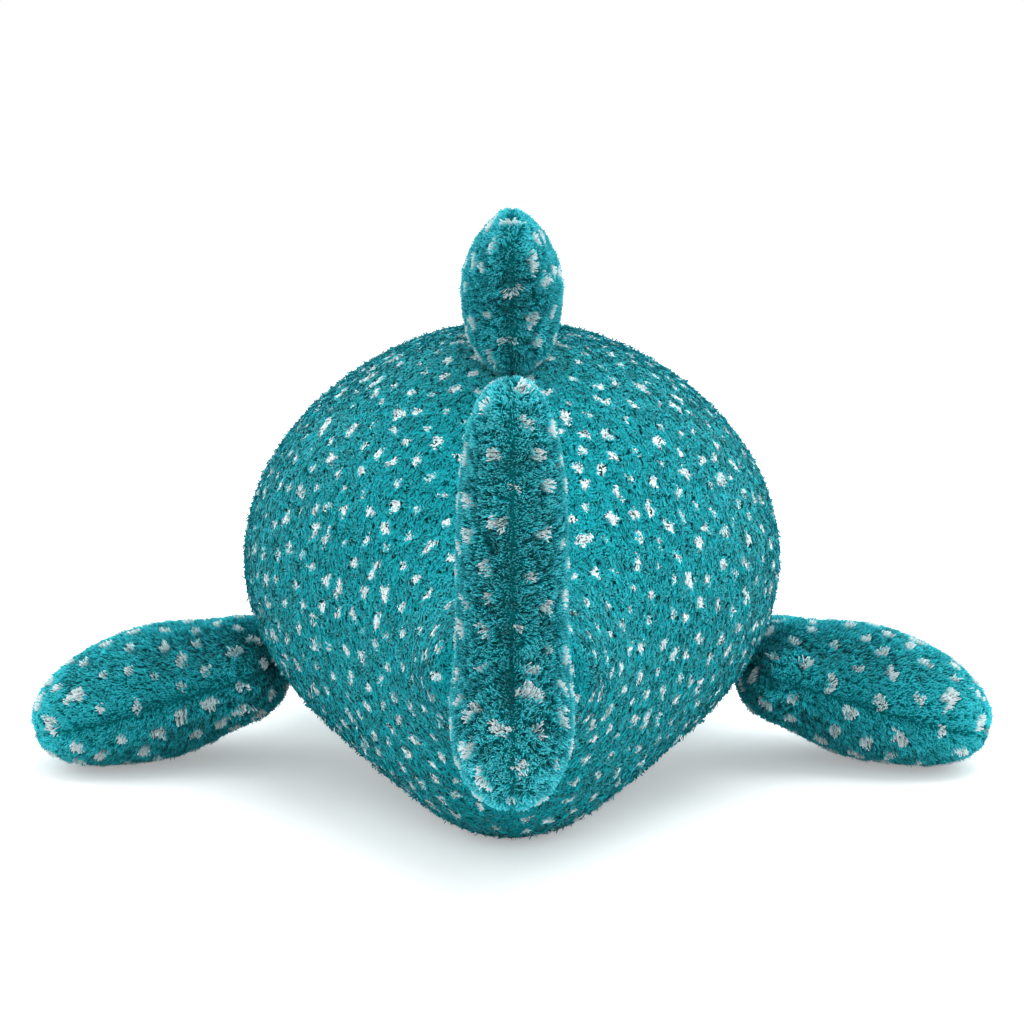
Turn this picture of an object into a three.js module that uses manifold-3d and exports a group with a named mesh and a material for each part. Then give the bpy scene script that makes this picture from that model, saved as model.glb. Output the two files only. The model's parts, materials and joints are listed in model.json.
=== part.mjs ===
// Plush whale shark: a stuffed toy of sewn plush panels that lies on its belly.
// Millimetres, +Z up, head towards +Y, floor at Z = 0, left and right as the shark has them.
import * as THREE from 'three';
import { mergeVertices } from 'three/addons/utils/BufferGeometryUtils.js';
import Module from 'manifold-3d';

const wasm = await Module();
wasm.setup();

// Plush cloth with its pile pressed flat, and the clearance where two pieces meet
const CLOTH = 4.5;
const GAP = 0.3;

// Body, measured from its widest section, which is at Y = 0 until the whole toy is centred
const BODY_WIDTH = 225;
const BODY_HEIGHT = 185;
const GIRTH_HEIGHT = 85.5;
const HEAD_LENGTH = 165;
const NOSE_HEIGHT = 64;
const BACK_LENGTH = 192;
const BELLY_LENGTH = 109;
const BELLY_PRESS = 4.5;

// Tail stock, the narrow end of the body that carries the tail fin
const STOCK_WIDTH = 66;
const STOCK_TOP = 108;
const STOCK_BOTTOM = 54;
const STOCK_CAP = 16;

// Seam between the belly gusset and the side panels: its heights at the chin, flank and stock
const GUSSET_CHIN = 38;
const GUSSET_FLANK = 24;
const GUSSET_STOCK = 68;

// Dorsal fin: how far its root lies behind the widest section, then its own sizes
const DORSAL_BACK = 33;
const DORSAL_SPAN = 53.5;
const DORSAL_ROOT_CHORD = 92;
const DORSAL_CHORD = 82;
const DORSAL_ROOT_THICKNESS = 38;
const DORSAL_THICKNESS = 42;
const DORSAL_SWEEP = 34;
const DORSAL_SEW_DEPTH = 12;

// Pectoral fins, which droop until they rest on the floor
const FIN_FORWARD = 12;
const FIN_SPAN = 94;
const FIN_ROOT_CHORD = 82;
const FIN_CHORD = 88;
const FIN_ROOT_THICKNESS = 38;
const FIN_THICKNESS = 53;
const FIN_SWEEP = 18;
const FIN_DROOP_DEG = 15;
const FIN_SEW_DEPTH = 5;

// Tail fin: a root leaf behind the stock, and two lobes that start inside it
const TAIL_SPAN = 40;
const TAIL_CHORD = 48;
const TAIL_ROOT_THICKNESS = 24;
const TAIL_THICKNESS = 45;
const TAIL_SEW_DEPTH = 4;
const LOBE_START = 24;
const LOBE_OVERLAP = 4;
const LOBE_TUCK = 1.5;
const UPPER_LOBE_HEIGHT = 115;
const UPPER_LOBE_REACH = 50;
const UPPER_LOBE_KNEE = 52;
const UPPER_LOBE_BOW = 17;
const UPPER_LOBE_CHORD = 56;
const UPPER_LOBE_THICKNESS = 37;
const LOWER_LOBE_DROP = 22;
const LOWER_LOBE_REACH = 66;
const LOWER_LOBE_KNEE = 46;
const LOWER_LOBE_CHORD = 50;
const LOWER_LOBE_THICKNESS = 43;

// Safety eyes with their washers, and the stitched mouth
const EYE_FORWARD = 112;
const EYE_HEIGHT = 70;
const EYE_WIDTH = 14;
const EYE_DOME = 5;
const STEM_WIDTH = 4.5;
const STEM_LENGTH = 13;
const WASHER_WIDTH = 15;
const WASHER_THICKNESS = 2.5;
const MOUTH_HEIGHT = 52;
const MOUTH_WIDTH = 130;
const MOUTH_THREAD = 2.6;

// Roundness of sections and ends: 2 is an ellipse, more is squarer, less is more pointed
const BODY_POWER = 1.85;
const SNOUT_POWER = 2.7;
const CROWN_POWER = 1.9;
const FIN_POWER = 2.2;
const CHORD_TIP_POWER = 2.3;
const DORSAL_TIP_POWER = 1.9;
const FIN_TIP_POWER = 2.2;
const UPPER_LOBE_TIP_POWER = 2.8;

// Lengthwise curves: the taper of the flanks, the fall of the back and the sweep of a fin
const FLANK_TAPER = 1.11;
const BACK_FALL = 1.3;
const SWEEP_POWER = 1.5;

// Turn past its hinge line at which a fin's round root narrows to a waist, so that it can swing
const ROOT_WAIST_DEG = 20;

// Share of its length at which a fin is fullest, and the length of root without stuffing
const DORSAL_FULL_AT = 0.28;
const FIN_FULL_AT = 0.42;
const LOBE_FULL_AT = 0.45;
const BARE_ROOT = 13;

// Facets: steps along and around each form
const SKIN_FACETS = { head: 7, back: 10, cap: 3, around: 24 };
const FILL_FACETS = { head: 5, back: 7, cap: 2, around: 16 };
const FIN_FACETS = { root: 4, span: 7, around: 14 };
const FIN_FILL_FACETS = { root: 0, span: 6, around: 10 };
const ROUND_SIDES = 12;
const EYE_RINGS = 6;
const SEAM_STEPS = 8;
const MOUTH_STEPS = 16;
const MOUTH_SIDES = 5;

// Reach of the cutting blocks, well past the toy, the step that measures a slope, and a near enough fit
const FAR = 1000;
const NEAR = 1;
const CLOSE = 0.003;

const X = new THREE.Vector3(1, 0, 0);
const Y = new THREE.Vector3(0, 1, 0);
const Z = new THREE.Vector3(0, 0, 1);

const PLUSH = new THREE.MeshStandardMaterial({ color: 0x0e7f86, roughness: 0.95, metalness: 0 });
const STUFFING = new THREE.MeshStandardMaterial({ color: 0xf2f1ec, roughness: 1, metalness: 0 });
const EYE = new THREE.MeshStandardMaterial({ color: 0x0b0b0c, roughness: 0.08, metalness: 0 });
const WASHER = new THREE.MeshStandardMaterial({ color: 0xdedbd2, roughness: 0.5, metalness: 0 });
const THREAD = new THREE.MeshStandardMaterial({ color: 0x12343a, roughness: 0.8, metalness: 0 });

const clamp01 = (t) => Math.min(Math.max(t, 0), 1);
const fall = (t) => 0.5 * (1 + Math.cos(Math.PI * t));
const dome = (t, power) => (1 - clamp01(t) ** power) ** (1 / power);
const oval = (c, power) => Math.sign(c) * Math.abs(c) ** (2 / power);
const steps = (count) => Array.from({ length: count }, (_, i) => i / count);
const slope = (f) => (f(NEAR) - f(-NEAR)) / (2 * NEAR);
const quarterSine = (t) => Math.sin((t * Math.PI) / 2);
const quarterCosine = (t) => Math.cos((t * Math.PI) / 2);

// Closed solid made from a geometry
function solid(geometry) {
  const bare = geometry.clone();
  bare.deleteAttribute('normal');
  bare.deleteAttribute('uv');
  const merged = mergeVertices(bare);
  const vertProperties = new Float32Array(merged.attributes.position.array);
  const triVerts = new Uint32Array(merged.index.array);
  return new wasm.Manifold(new wasm.Mesh({ numProp: 3, vertProperties, triVerts }));
}

// Named mesh made from a solid
function piece(name, body, material) {
  const { vertProperties, triVerts } = body.getMesh();
  const geometry = new THREE.BufferGeometry();
  geometry.setAttribute('position', new THREE.BufferAttribute(vertProperties, 3));
  geometry.setIndex(new THREE.BufferAttribute(triVerts, 1));
  geometry.computeVertexNormals();
  const mesh = new THREE.Mesh(geometry, material);
  mesh.name = name;
  return mesh;
}

// Block that fills the space on one side of a seam plane, half a gap away from it
function beside(axis, sign) {
  const block = new THREE.BoxGeometry(FAR, FAR, FAR);
  const shift = axis.clone().multiplyScalar(sign * (FAR + GAP) / 2);
  return solid(block.translate(shift.x, shift.y, shift.z));
}

// Closed form through rings of points that turn counterclockwise about the way they advance
function loft(start, rings, end) {
  const around = rings[0].length;
  const points = [start, ...rings.flat(), end];
  const last = points.length - 1;
  const at = (i, j) => 1 + i * around + (j % around);
  const index = [];
  for (let j = 0; j < around; j += 1) {
    index.push(0, at(0, j + 1), at(0, j));
    index.push(last, at(rings.length - 1, j), at(rings.length - 1, j + 1));
    for (let i = 0; i + 1 < rings.length; i += 1) {
      index.push(at(i, j), at(i, j + 1), at(i + 1, j + 1));
      index.push(at(i, j), at(i + 1, j + 1), at(i + 1, j));
    }
  }
  const geometry = new THREE.BufferGeometry().setFromPoints(points);
  geometry.setIndex(index);
  return geometry;
}

// Section of the head at y: half width, top, bottom and the height of its widest line
function headSection(y, inset) {
  const t = y / (HEAD_LENGTH - inset);
  return {
    half: (BODY_WIDTH / 2 - inset) * dome(t, SNOUT_POWER),
    top: NOSE_HEIGHT + (BODY_HEIGHT - inset - NOSE_HEIGHT) * dome(t, CROWN_POWER),
    bottom: NOSE_HEIGHT + (inset - BELLY_PRESS - NOSE_HEIGHT) * dome(t, SNOUT_POWER),
    girth: GIRTH_HEIGHT + (NOSE_HEIGHT - GIRTH_HEIGHT) * clamp01(t) ** 2,
  };
}

// The same for the back, down to the tail stock and its rounded end
function backSection(y, inset) {
  const t = clamp01(-y / BACK_LENGTH);
  const lift = 1 - fall(clamp01((-y - BELLY_LENGTH) / (BACK_LENGTH - BELLY_LENGTH)));
  const middle = (STOCK_TOP + STOCK_BOTTOM) / 2;
  const half = (STOCK_WIDTH + (BODY_WIDTH - STOCK_WIDTH) * fall(t ** FLANK_TAPER)) / 2 - inset;
  const top = STOCK_TOP + (BODY_HEIGHT - STOCK_TOP) * fall(t ** BACK_FALL) - inset;
  const bottom = (STOCK_BOTTOM + BELLY_PRESS) * lift - BELLY_PRESS + inset;
  const girth = GIRTH_HEIGHT + (middle - GIRTH_HEIGHT) * (1 - fall(t));
  const close = dome((-y - BACK_LENGTH) / (STOCK_CAP - inset), 2);
  return {
    half: half * close,
    top: middle + (top - middle) * close,
    bottom: middle + (bottom - middle) * close,
    girth: middle + (girth - middle) * close,
  };
}

const bodySection = (y, inset) => (y > 0 ? headSection(y, inset) : backSection(y, inset));

// Half width of the body at a place along it and a height
function sideAt(y, z) {
  const { half, top, bottom, girth } = bodySection(y, 0);
  const reach = z > girth ? top - girth : girth - bottom;
  return reach > 0 ? half * dome(Math.abs(z - girth) / reach, BODY_POWER) : 0;
}

// Place along the head where the body is as wide as x at a height
function snoutAt(x, z) {
  let near = 0;
  let far = HEAD_LENGTH;
  while (far - near > CLOSE) {
    const middle = (near + far) / 2;
    if (sideAt(middle, z) > Math.abs(x)) near = middle;
    else far = middle;
  }
  return near;
}

// The stuffed body, set in from its outside and pressed flat where it lies on the floor
function bodyForm(inset, facets) {
  const cap = STOCK_CAP - inset;
  const nose = HEAD_LENGTH - inset;
  const stations = [
    ...steps(facets.cap).slice(1).map((t) => -BACK_LENGTH - cap * quarterCosine(t)),
    ...steps(facets.back).map((t) => BACK_LENGTH * (t - 1)),
    ...steps(facets.head).map((t) => nose * quarterSine(t)),
  ];
  const rings = stations.map((y) => {
    const { half, top, bottom, girth } = bodySection(y, inset);
    return steps(facets.around).map((t) => {
      const up = oval(Math.cos(2 * Math.PI * t), BODY_POWER);
      const out = oval(Math.sin(2 * Math.PI * t), BODY_POWER);
      const z = girth + up * (up > 0 ? top - girth : girth - bottom);
      return new THREE.Vector3(half * out, y, Math.max(z, inset));
    });
  });
  const tailEnd = new THREE.Vector3(0, -BACK_LENGTH - cap, (STOCK_TOP + STOCK_BOTTOM) / 2);
  return solid(loft(tailEnd, rings, new THREE.Vector3(0, nose, NOSE_HEIGHT)));
}

// Growth from a fin's root to its fullest place, and its rounding off to the tip
function swell(t, root, full, fullAt, tipPower) {
  if (t < fullAt) return root + (full - root) * (1 - fall(t / fullAt));
  return full * dome((t - fullAt) / (1 - fullAt), tipPower);
}

// Oval ring across a chord and the thickness, which is always along Y in a fin's own frame
function ovalRing(centre, chordWay, halfChord, halfThickness, around) {
  return steps(around).map((t) => {
    const along = halfChord * oval(Math.cos(2 * Math.PI * t), FIN_POWER);
    const across = halfThickness * oval(Math.sin(2 * Math.PI * t), FIN_POWER);
    return centre.clone().addScaledVector(chordWay, along).addScaledVector(Y, across);
  });
}

// Leaf-shaped fin in its own frame: X along the chord, Y through the thickness, Z out from the
// body, with the hinge line of its seam on X. Its root is round about that line, up to a waist
// that leaves room to swing. Set in from its outside, it is the space for the stuffing, which
// starts clear of the root.
function leafForm(fin, inset, facets) {
  const rootRadius = fin.rootThickness / 2;
  const waistTurn = THREE.MathUtils.degToRad(ROOT_WAIST_DEG);
  const waist = rootRadius * Math.cos(waistTurn);
  const tip = fin.span - inset;
  const from = inset > 0 ? BARE_ROOT + inset - CLOTH : rootRadius * Math.sin(waistTurn);
  const centreAt = (z) => new THREE.Vector3(-fin.sweep * Math.max(z / tip, 0) ** SWEEP_POWER, 0, z);
  const rootRings = steps(facets.root).slice(1).map((t) => {
    const turn = (waistTurn + Math.PI / 2) * t - Math.PI / 2;
    const halfChord = (fin.rootChord / 2) * Math.cos(Math.min(turn, 0));
    const centre = centreAt(rootRadius * Math.sin(turn));
    return ovalRing(centre, X, halfChord, rootRadius * Math.cos(turn), facets.around);
  });
  const spanRings = steps(facets.span).map((t) => {
    const z = from + (tip - from) * quarterSine(t);
    const share = (z - from) / (tip - from);
    const rootHalf = fin.rootChord / 2 - inset;
    const halfChord = swell(share, rootHalf, fin.chord / 2 - inset, fin.fullAt, CHORD_TIP_POWER);
    const halfThickness = swell(share, waist - inset, fin.thickness / 2 - inset, fin.fullAt, fin.tipPower);
    return ovalRing(centreAt(z), X, halfChord, halfThickness, facets.around);
  });
  const start = inset > 0 ? centreAt(from) : centreAt(-rootRadius);
  return loft(start, [...rootRings, ...spanRings], centreAt(tip));
}

// Lobe of the tail fin, in the fin's own frame: ovals along a bowed line from inside the root leaf
function lobeForm(lobe, inset, facets) {
  const bow = new THREE.QuadraticBezierCurve3(lobe.from, lobe.knee, lobe.tip);
  const shorten = inset / bow.getLength();
  const rootChord = TAIL_CHORD / 2 - LOBE_OVERLAP - inset;
  const rootThickness = TAIL_THICKNESS / 2 - LOBE_TUCK - inset;
  const rings = steps(facets.span).map((t) => {
    const along = quarterSine(t) * (1 - shorten);
    const chordWay = Y.clone().cross(bow.getTangent(along));
    const share = along / (1 - shorten);
    const halfChord = swell(share, rootChord, lobe.chord / 2 - inset, LOBE_FULL_AT, CHORD_TIP_POWER);
    const halfThickness = swell(share, rootThickness, lobe.thickness / 2 - inset, LOBE_FULL_AT, lobe.tipPower);
    return ovalRing(bow.getPoint(along), chordWay, halfChord, halfThickness, facets.around);
  });
  return loft(lobe.from, rings, bow.getPoint(1 - shorten));
}

// The dent that a fin's root leaves in the body: its root turned about the hinge line, made wider
// so that its flats too are a gap away
function rootDent(fin) {
  const alongFlats = Math.cos(Math.PI / (2 * ROUND_SIDES));
  const aroundFlats = Math.cos(Math.PI / ROUND_SIDES);
  const radius = (fin.rootThickness / 2 + GAP) / (alongFlats * aroundFlats);
  const half = (fin.rootChord / 2 + GAP) / alongFlats;
  const profile = [...steps(ROUND_SIDES), 1].map((t) => {
    const angle = Math.PI * (t - 0.5);
    const across = radius * oval(Math.cos(angle), FIN_POWER);
    return new THREE.Vector2(across, half * oval(Math.sin(angle), FIN_POWER));
  });
  profile[0].x = 0;
  profile[ROUND_SIDES].x = 0;
  return new THREE.LatheGeometry(profile, ROUND_SIDES).rotateZ(-Math.PI / 2);
}

const DORSAL_FIN = {
  span: DORSAL_SPAN, sweep: DORSAL_SWEEP, fullAt: DORSAL_FULL_AT, tipPower: DORSAL_TIP_POWER,
  rootChord: DORSAL_ROOT_CHORD, chord: DORSAL_CHORD,
  rootThickness: DORSAL_ROOT_THICKNESS, thickness: DORSAL_THICKNESS,
};
const RIGHT_FIN = {
  span: FIN_SPAN, sweep: FIN_SWEEP, fullAt: FIN_FULL_AT, tipPower: FIN_TIP_POWER,
  rootChord: FIN_ROOT_CHORD, chord: FIN_CHORD,
  rootThickness: FIN_ROOT_THICKNESS, thickness: FIN_THICKNESS,
};
const LEFT_FIN = { ...RIGHT_FIN, sweep: -FIN_SWEEP };
const TAIL_ROOT = {
  span: TAIL_SPAN, sweep: 0, fullAt: FIN_FULL_AT, tipPower: FIN_TIP_POWER,
  rootChord: TAIL_CHORD, chord: TAIL_CHORD,
  rootThickness: TAIL_ROOT_THICKNESS, thickness: TAIL_THICKNESS,
};
const UPPER_LOBE = {
  from: new THREE.Vector3(-LOBE_OVERLAP, 0, LOBE_START),
  knee: new THREE.Vector3(UPPER_LOBE_KNEE, 0, UPPER_LOBE_BOW),
  tip: new THREE.Vector3(UPPER_LOBE_HEIGHT, 0, UPPER_LOBE_REACH),
  chord: UPPER_LOBE_CHORD, thickness: UPPER_LOBE_THICKNESS, tipPower: UPPER_LOBE_TIP_POWER,
};
const LOWER_LOBE = {
  from: new THREE.Vector3(LOBE_OVERLAP, 0, LOBE_START),
  knee: new THREE.Vector3(LOBE_OVERLAP, 0, LOWER_LOBE_KNEE),
  tip: new THREE.Vector3(-LOWER_LOBE_DROP, 0, LOWER_LOBE_REACH),
  chord: LOWER_LOBE_CHORD, thickness: LOWER_LOBE_THICKNESS, tipPower: FIN_TIP_POWER,
};

const leafSolid = (fin) => (inset, facets) => solid(leafForm(fin, inset, facets));

function tailSolid(inset, facets) {
  const lobes = [UPPER_LOBE, LOWER_LOBE].map((lobe) => solid(lobeForm(lobe, inset, facets)));
  return solid(leafForm(TAIL_ROOT, inset, facets)).add(lobes[0]).add(lobes[1]);
}

// Frame of a fin on the body: where its seam's hinge line is, the way of its chord and of its span
function finFrame(centre, chordWay, spanWay) {
  const thicknessWay = spanWay.clone().cross(chordWay);
  const frame = new THREE.Matrix4().makeBasis(chordWay, thicknessWay, spanWay);
  return frame.setPosition(centre);
}

function dorsalFrame() {
  const half = DORSAL_ROOT_CHORD / 2;
  const topAt = (y) => bodySection(y, 0).top;
  const rise = topAt(half - DORSAL_BACK) - topAt(-half - DORSAL_BACK);
  const chordWay = new THREE.Vector3(0, DORSAL_ROOT_CHORD, rise).normalize();
  const spanWay = X.clone().cross(chordWay);
  const stand = (DORSAL_ROOT_THICKNESS / 2 - DORSAL_SEW_DEPTH) / spanWay.z;
  const centre = new THREE.Vector3(0, -DORSAL_BACK, topAt(-DORSAL_BACK) + stand);
  return finFrame(centre, chordWay, spanWay);
}

// A pectoral fin hangs from the flank at the height that puts its underside on the floor
function pectoralFrame(fin, side) {
  const droop = THREE.MathUtils.degToRad(FIN_DROOP_DEG);
  const spanWay = new THREE.Vector3(side * Math.cos(droop), 0, -Math.sin(droop));
  const chordWay = Y.clone().multiplyScalar(side);
  const hung = leafForm(fin, 0, FIN_FACETS).applyMatrix4(finFrame(new THREE.Vector3(), chordWay, spanWay));
  hung.computeBoundingBox();
  const height = GAP - hung.boundingBox.min.z;
  const lean = slope((d) => sideAt(FIN_FORWARD, height + d));
  const stand = (FIN_ROOT_THICKNESS / 2 - FIN_SEW_DEPTH) * Math.hypot(1, lean);
  const centre = new THREE.Vector3(side * (sideAt(FIN_FORWARD, height) + stand), FIN_FORWARD, height);
  return finFrame(centre, chordWay, spanWay);
}

function tailFrame() {
  const stand = TAIL_ROOT_THICKNESS / 2 - TAIL_SEW_DEPTH;
  const centre = new THREE.Vector3(0, -BACK_LENGTH - STOCK_CAP - stand, (STOCK_TOP + STOCK_BOTTOM) / 2);
  return finFrame(centre, Z, Y.clone().negate());
}

// Group of a fin in its frame: its two panels, sewn along the plane of the fin, and its stuffing
function finGroup(form, frame, names) {
  const skin = form(0, FIN_FACETS).subtract(form(CLOTH, FIN_FILL_FACETS));
  const group = new THREE.Group();
  group.add(piece(names.over, skin.intersect(beside(Y, 1)), PLUSH));
  group.add(piece(names.under, skin.intersect(beside(Y, -1)), PLUSH));
  group.add(piece(names.fill, form(CLOTH + GAP, FIN_FILL_FACETS), STUFFING));
  group.applyMatrix4(frame);
  return group;
}

// Frame of an eye: its stem runs along -Y into the flank of the head, square to it
function eyeFrame(side) {
  const x = sideAt(EYE_FORWARD, EYE_HEIGHT);
  const alongY = slope((d) => sideAt(EYE_FORWARD + d, EYE_HEIGHT));
  const alongZ = slope((d) => sideAt(EYE_FORWARD, EYE_HEIGHT + d));
  const outward = new THREE.Vector3(side, -alongY, -alongZ).normalize();
  const turn = new THREE.Quaternion().setFromUnitVectors(Y, outward);
  const centre = new THREE.Vector3(side * x, EYE_FORWARD, EYE_HEIGHT).addScaledVector(outward, GAP);
  return new THREE.Matrix4().compose(centre, turn, new THREE.Vector3(1, 1, 1));
}

function eyeForm() {
  const rim = EYE_WIDTH / 2;
  const profile = [
    new THREE.Vector2(0, -STEM_LENGTH),
    new THREE.Vector2(STEM_WIDTH / 2, -STEM_LENGTH),
    new THREE.Vector2(STEM_WIDTH / 2, 0),
    ...steps(EYE_RINGS).map((t) => new THREE.Vector2(rim * quarterCosine(t), EYE_DOME * quarterSine(t))),
    new THREE.Vector2(0, EYE_DOME),
  ];
  return new THREE.LatheGeometry(profile, ROUND_SIDES);
}

// Washer on the stem, against the inside of the cloth
function washerForm() {
  const bore = STEM_WIDTH / 2 + GAP;
  const rim = WASHER_WIDTH / 2;
  const high = -CLOTH - 2 * GAP;
  const low = high - WASHER_THICKNESS;
  const corners = [[bore, low], [rim, low], [rim, high], [bore, high], [bore, low]];
  return new THREE.LatheGeometry(corners.map(([r, y]) => new THREE.Vector2(r, y)), ROUND_SIDES);
}

// Round hole in an eye's frame, with a gap around what goes in it
function eyeHole(width, high, low) {
  const radius = width / 2 + GAP;
  const hole = new THREE.CylinderGeometry(radius, radius, high - low, ROUND_SIDES);
  return hole.translate(0, (high + low) / 2, 0);
}

const stemHole = () => eyeHole(STEM_WIDTH, STEM_LENGTH, -STEM_LENGTH);
const washerPocket = () => eyeHole(WASHER_WIDTH, -CLOTH - GAP, -STEM_LENGTH - GAP);

// Mouth: thread laid on the snout across its front, at one height
function mouthForm() {
  const lift = MOUTH_THREAD / 2 + GAP;
  const points = [...steps(MOUTH_STEPS), 1].map((t) => {
    const x = MOUTH_WIDTH * (t - 0.5);
    const alongX = slope((d) => snoutAt(x + d, MOUTH_HEIGHT));
    const alongZ = slope((d) => snoutAt(x, MOUTH_HEIGHT + d));
    const outward = new THREE.Vector3(-alongX, 1, -alongZ).normalize();
    return new THREE.Vector3(x, snoutAt(x, MOUTH_HEIGHT), MOUTH_HEIGHT).addScaledVector(outward, lift);
  });
  const corners = steps(MOUTH_SIDES).map((t) => {
    const angle = 2 * Math.PI * t;
    return new THREE.Vector2(Math.cos(angle), Math.sin(angle)).multiplyScalar(MOUTH_THREAD / 2);
  });
  return new THREE.ExtrudeGeometry(new THREE.Shape(corners), {
    extrudePath: new THREE.CatmullRomCurve3(points), steps: MOUTH_STEPS,
  });
}

// Block below the gusset seam, whose height follows the chin, the flank and the tail stock
function belowSeam(raise) {
  const seam = new THREE.Shape();
  seam.moveTo(FAR, -FAR);
  seam.lineTo(FAR, GUSSET_CHIN + raise);
  seam.lineTo(HEAD_LENGTH, GUSSET_CHIN + raise);
  seam.splineThru([
    new THREE.Vector2(0, GUSSET_FLANK + raise),
    new THREE.Vector2(-BELLY_LENGTH, GUSSET_FLANK + raise),
    new THREE.Vector2(-BACK_LENGTH - STOCK_CAP, GUSSET_STOCK + raise),
  ]);
  seam.lineTo(-FAR, GUSSET_STOCK + raise);
  seam.lineTo(-FAR, -FAR);
  const block = new THREE.ExtrudeGeometry(seam, {
    depth: FAR, bevelEnabled: false, curveSegments: SEAM_STEPS,
  });
  block.translate(0, 0, -FAR / 2);
  return solid(block.applyMatrix4(new THREE.Matrix4().makeBasis(Y, Z, X)));
}

const frames = {
  dorsal: dorsalFrame(),
  left: pectoralFrame(LEFT_FIN, -1),
  right: pectoralFrame(RIGHT_FIN, 1),
  tail: tailFrame(),
  leftEye: eyeFrame(-1),
  rightEye: eyeFrame(1),
};

const placed = (geometry, frame) => solid(geometry.applyMatrix4(frame));

function bodyGroup() {
  const dents = placed(rootDent(DORSAL_FIN), frames.dorsal)
    .add(placed(rootDent(LEFT_FIN), frames.left))
    .add(placed(rootDent(RIGHT_FIN), frames.right))
    .add(placed(rootDent(TAIL_ROOT), frames.tail));
  const bothEyes = (hole) => placed(hole(), frames.leftEye).add(placed(hole(), frames.rightEye));
  const skin = bodyForm(0, SKIN_FACETS)
    .subtract(bodyForm(CLOTH, FILL_FACETS))
    .subtract(dents)
    .subtract(bothEyes(stemHole))
    .subtract(bothEyes(washerPocket));
  const sides = skin.subtract(belowSeam(GAP / 2));
  const stuffing = bodyForm(CLOTH + GAP, FILL_FACETS).subtract(dents).subtract(bothEyes(washerPocket));
  const group = new THREE.Group();
  group.add(piece('body_panel_left', sides.intersect(beside(X, -1)), PLUSH));
  group.add(piece('body_panel_right', sides.intersect(beside(X, 1)), PLUSH));
  group.add(piece('belly_gusset', skin.intersect(belowSeam(-GAP / 2)), PLUSH));
  group.add(piece('body_stuffing', stuffing, STUFFING));
  group.add(piece('mouth_stitching', solid(mouthForm()), THREAD));
  return group;
}

function eyeGroup(side, frame) {
  const group = new THREE.Group();
  group.add(piece(`${side}_eye`, solid(eyeForm()), EYE));
  group.add(piece(`${side}_eye_washer`, solid(washerForm()), WASHER));
  group.applyMatrix4(frame);
  return group;
}

const whaleShark = new THREE.Group();
whaleShark.add(bodyGroup());
whaleShark.add(eyeGroup('left', frames.leftEye));
whaleShark.add(eyeGroup('right', frames.rightEye));
whaleShark.add(finGroup(leafSolid(DORSAL_FIN), frames.dorsal, {
  over: 'dorsal_fin_panel_left', under: 'dorsal_fin_panel_right', fill: 'dorsal_fin_stuffing',
}));
whaleShark.add(finGroup(leafSolid(LEFT_FIN), frames.left, {
  over: 'left_fin_upper_panel', under: 'left_fin_lower_panel', fill: 'left_fin_stuffing',
}));
whaleShark.add(finGroup(leafSolid(RIGHT_FIN), frames.right, {
  over: 'right_fin_upper_panel', under: 'right_fin_lower_panel', fill: 'right_fin_stuffing',
}));
whaleShark.add(finGroup(tailSolid, frames.tail, {
  over: 'tail_fin_panel_left', under: 'tail_fin_panel_right', fill: 'tail_fin_stuffing',
}));

// The toy is centred over its origin, lengthwise
const extent = new THREE.Box3().setFromObject(whaleShark, true);
whaleShark.position.y = -(extent.min.y + extent.max.y) / 2;

export default whaleShark;
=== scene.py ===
"""Plush whale shark: stuffed body and fins, curly pile with white tufts, eyes, mouth and stage.

Lengths are in metres.
"""

import itertools
import json
import math

import bpy
import numpy as np
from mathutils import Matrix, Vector


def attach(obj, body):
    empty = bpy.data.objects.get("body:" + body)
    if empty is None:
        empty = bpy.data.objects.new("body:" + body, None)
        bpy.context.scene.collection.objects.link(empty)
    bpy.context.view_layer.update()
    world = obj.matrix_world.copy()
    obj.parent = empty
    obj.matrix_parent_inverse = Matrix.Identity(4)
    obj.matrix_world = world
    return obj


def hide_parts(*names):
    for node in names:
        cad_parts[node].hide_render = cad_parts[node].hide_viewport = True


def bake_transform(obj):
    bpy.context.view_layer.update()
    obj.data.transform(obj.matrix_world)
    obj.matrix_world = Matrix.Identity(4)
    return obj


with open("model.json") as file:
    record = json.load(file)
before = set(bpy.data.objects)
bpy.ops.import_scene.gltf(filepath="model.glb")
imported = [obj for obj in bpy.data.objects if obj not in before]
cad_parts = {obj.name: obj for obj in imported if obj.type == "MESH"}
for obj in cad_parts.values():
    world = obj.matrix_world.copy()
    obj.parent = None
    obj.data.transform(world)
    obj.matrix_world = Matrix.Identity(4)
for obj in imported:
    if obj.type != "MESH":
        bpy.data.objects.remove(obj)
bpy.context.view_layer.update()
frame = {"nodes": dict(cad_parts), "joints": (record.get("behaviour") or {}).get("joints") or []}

bl_info = {
    "name": "Plush Whale Shark",
    "version": (1, 0, 0),
    "blender": (4, 5, 0),
    "location": "View3D > Sidebar > Whale Shark",
    "description": "Builds a stuffed plush whale shark with pile, white tufts, eyes and a mouth",
    "category": "Add Mesh",
}

JOINTS = {joint["name"]: joint for joint in frame["joints"]}

# Roundness of sections and ends: 2 is an ellipse, more is squarer, less is more pointed
BODY_POWER = 1.85
SNOUT_POWER = 2.7
CROWN_POWER = 1.9
FIN_POWER = 2.2
CHORD_TIP_POWER = 2.3
FLANK_TAPER = 1.11
BACK_FALL = 1.3
STOCK_END_POWER = 3.5
SWEEP_POWER = 1.5
ROOT_WAIST = math.radians(20)

# Steps along and around the smooth forms before they are stuffed
ROWS = 96
COLUMNS = 72

# Places along a strand: its root, which is a point, its middle and its blunt tip, then both widths
STATIONS = np.array([0.0, 0.5, 1.0])
TAPER = np.array([1.0, 0.8])
STRAND_LOOPS = np.array([0, 2, 1, 1, 2, 4, 3])
STRAND_STARTS = np.array([0, 3])

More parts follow.
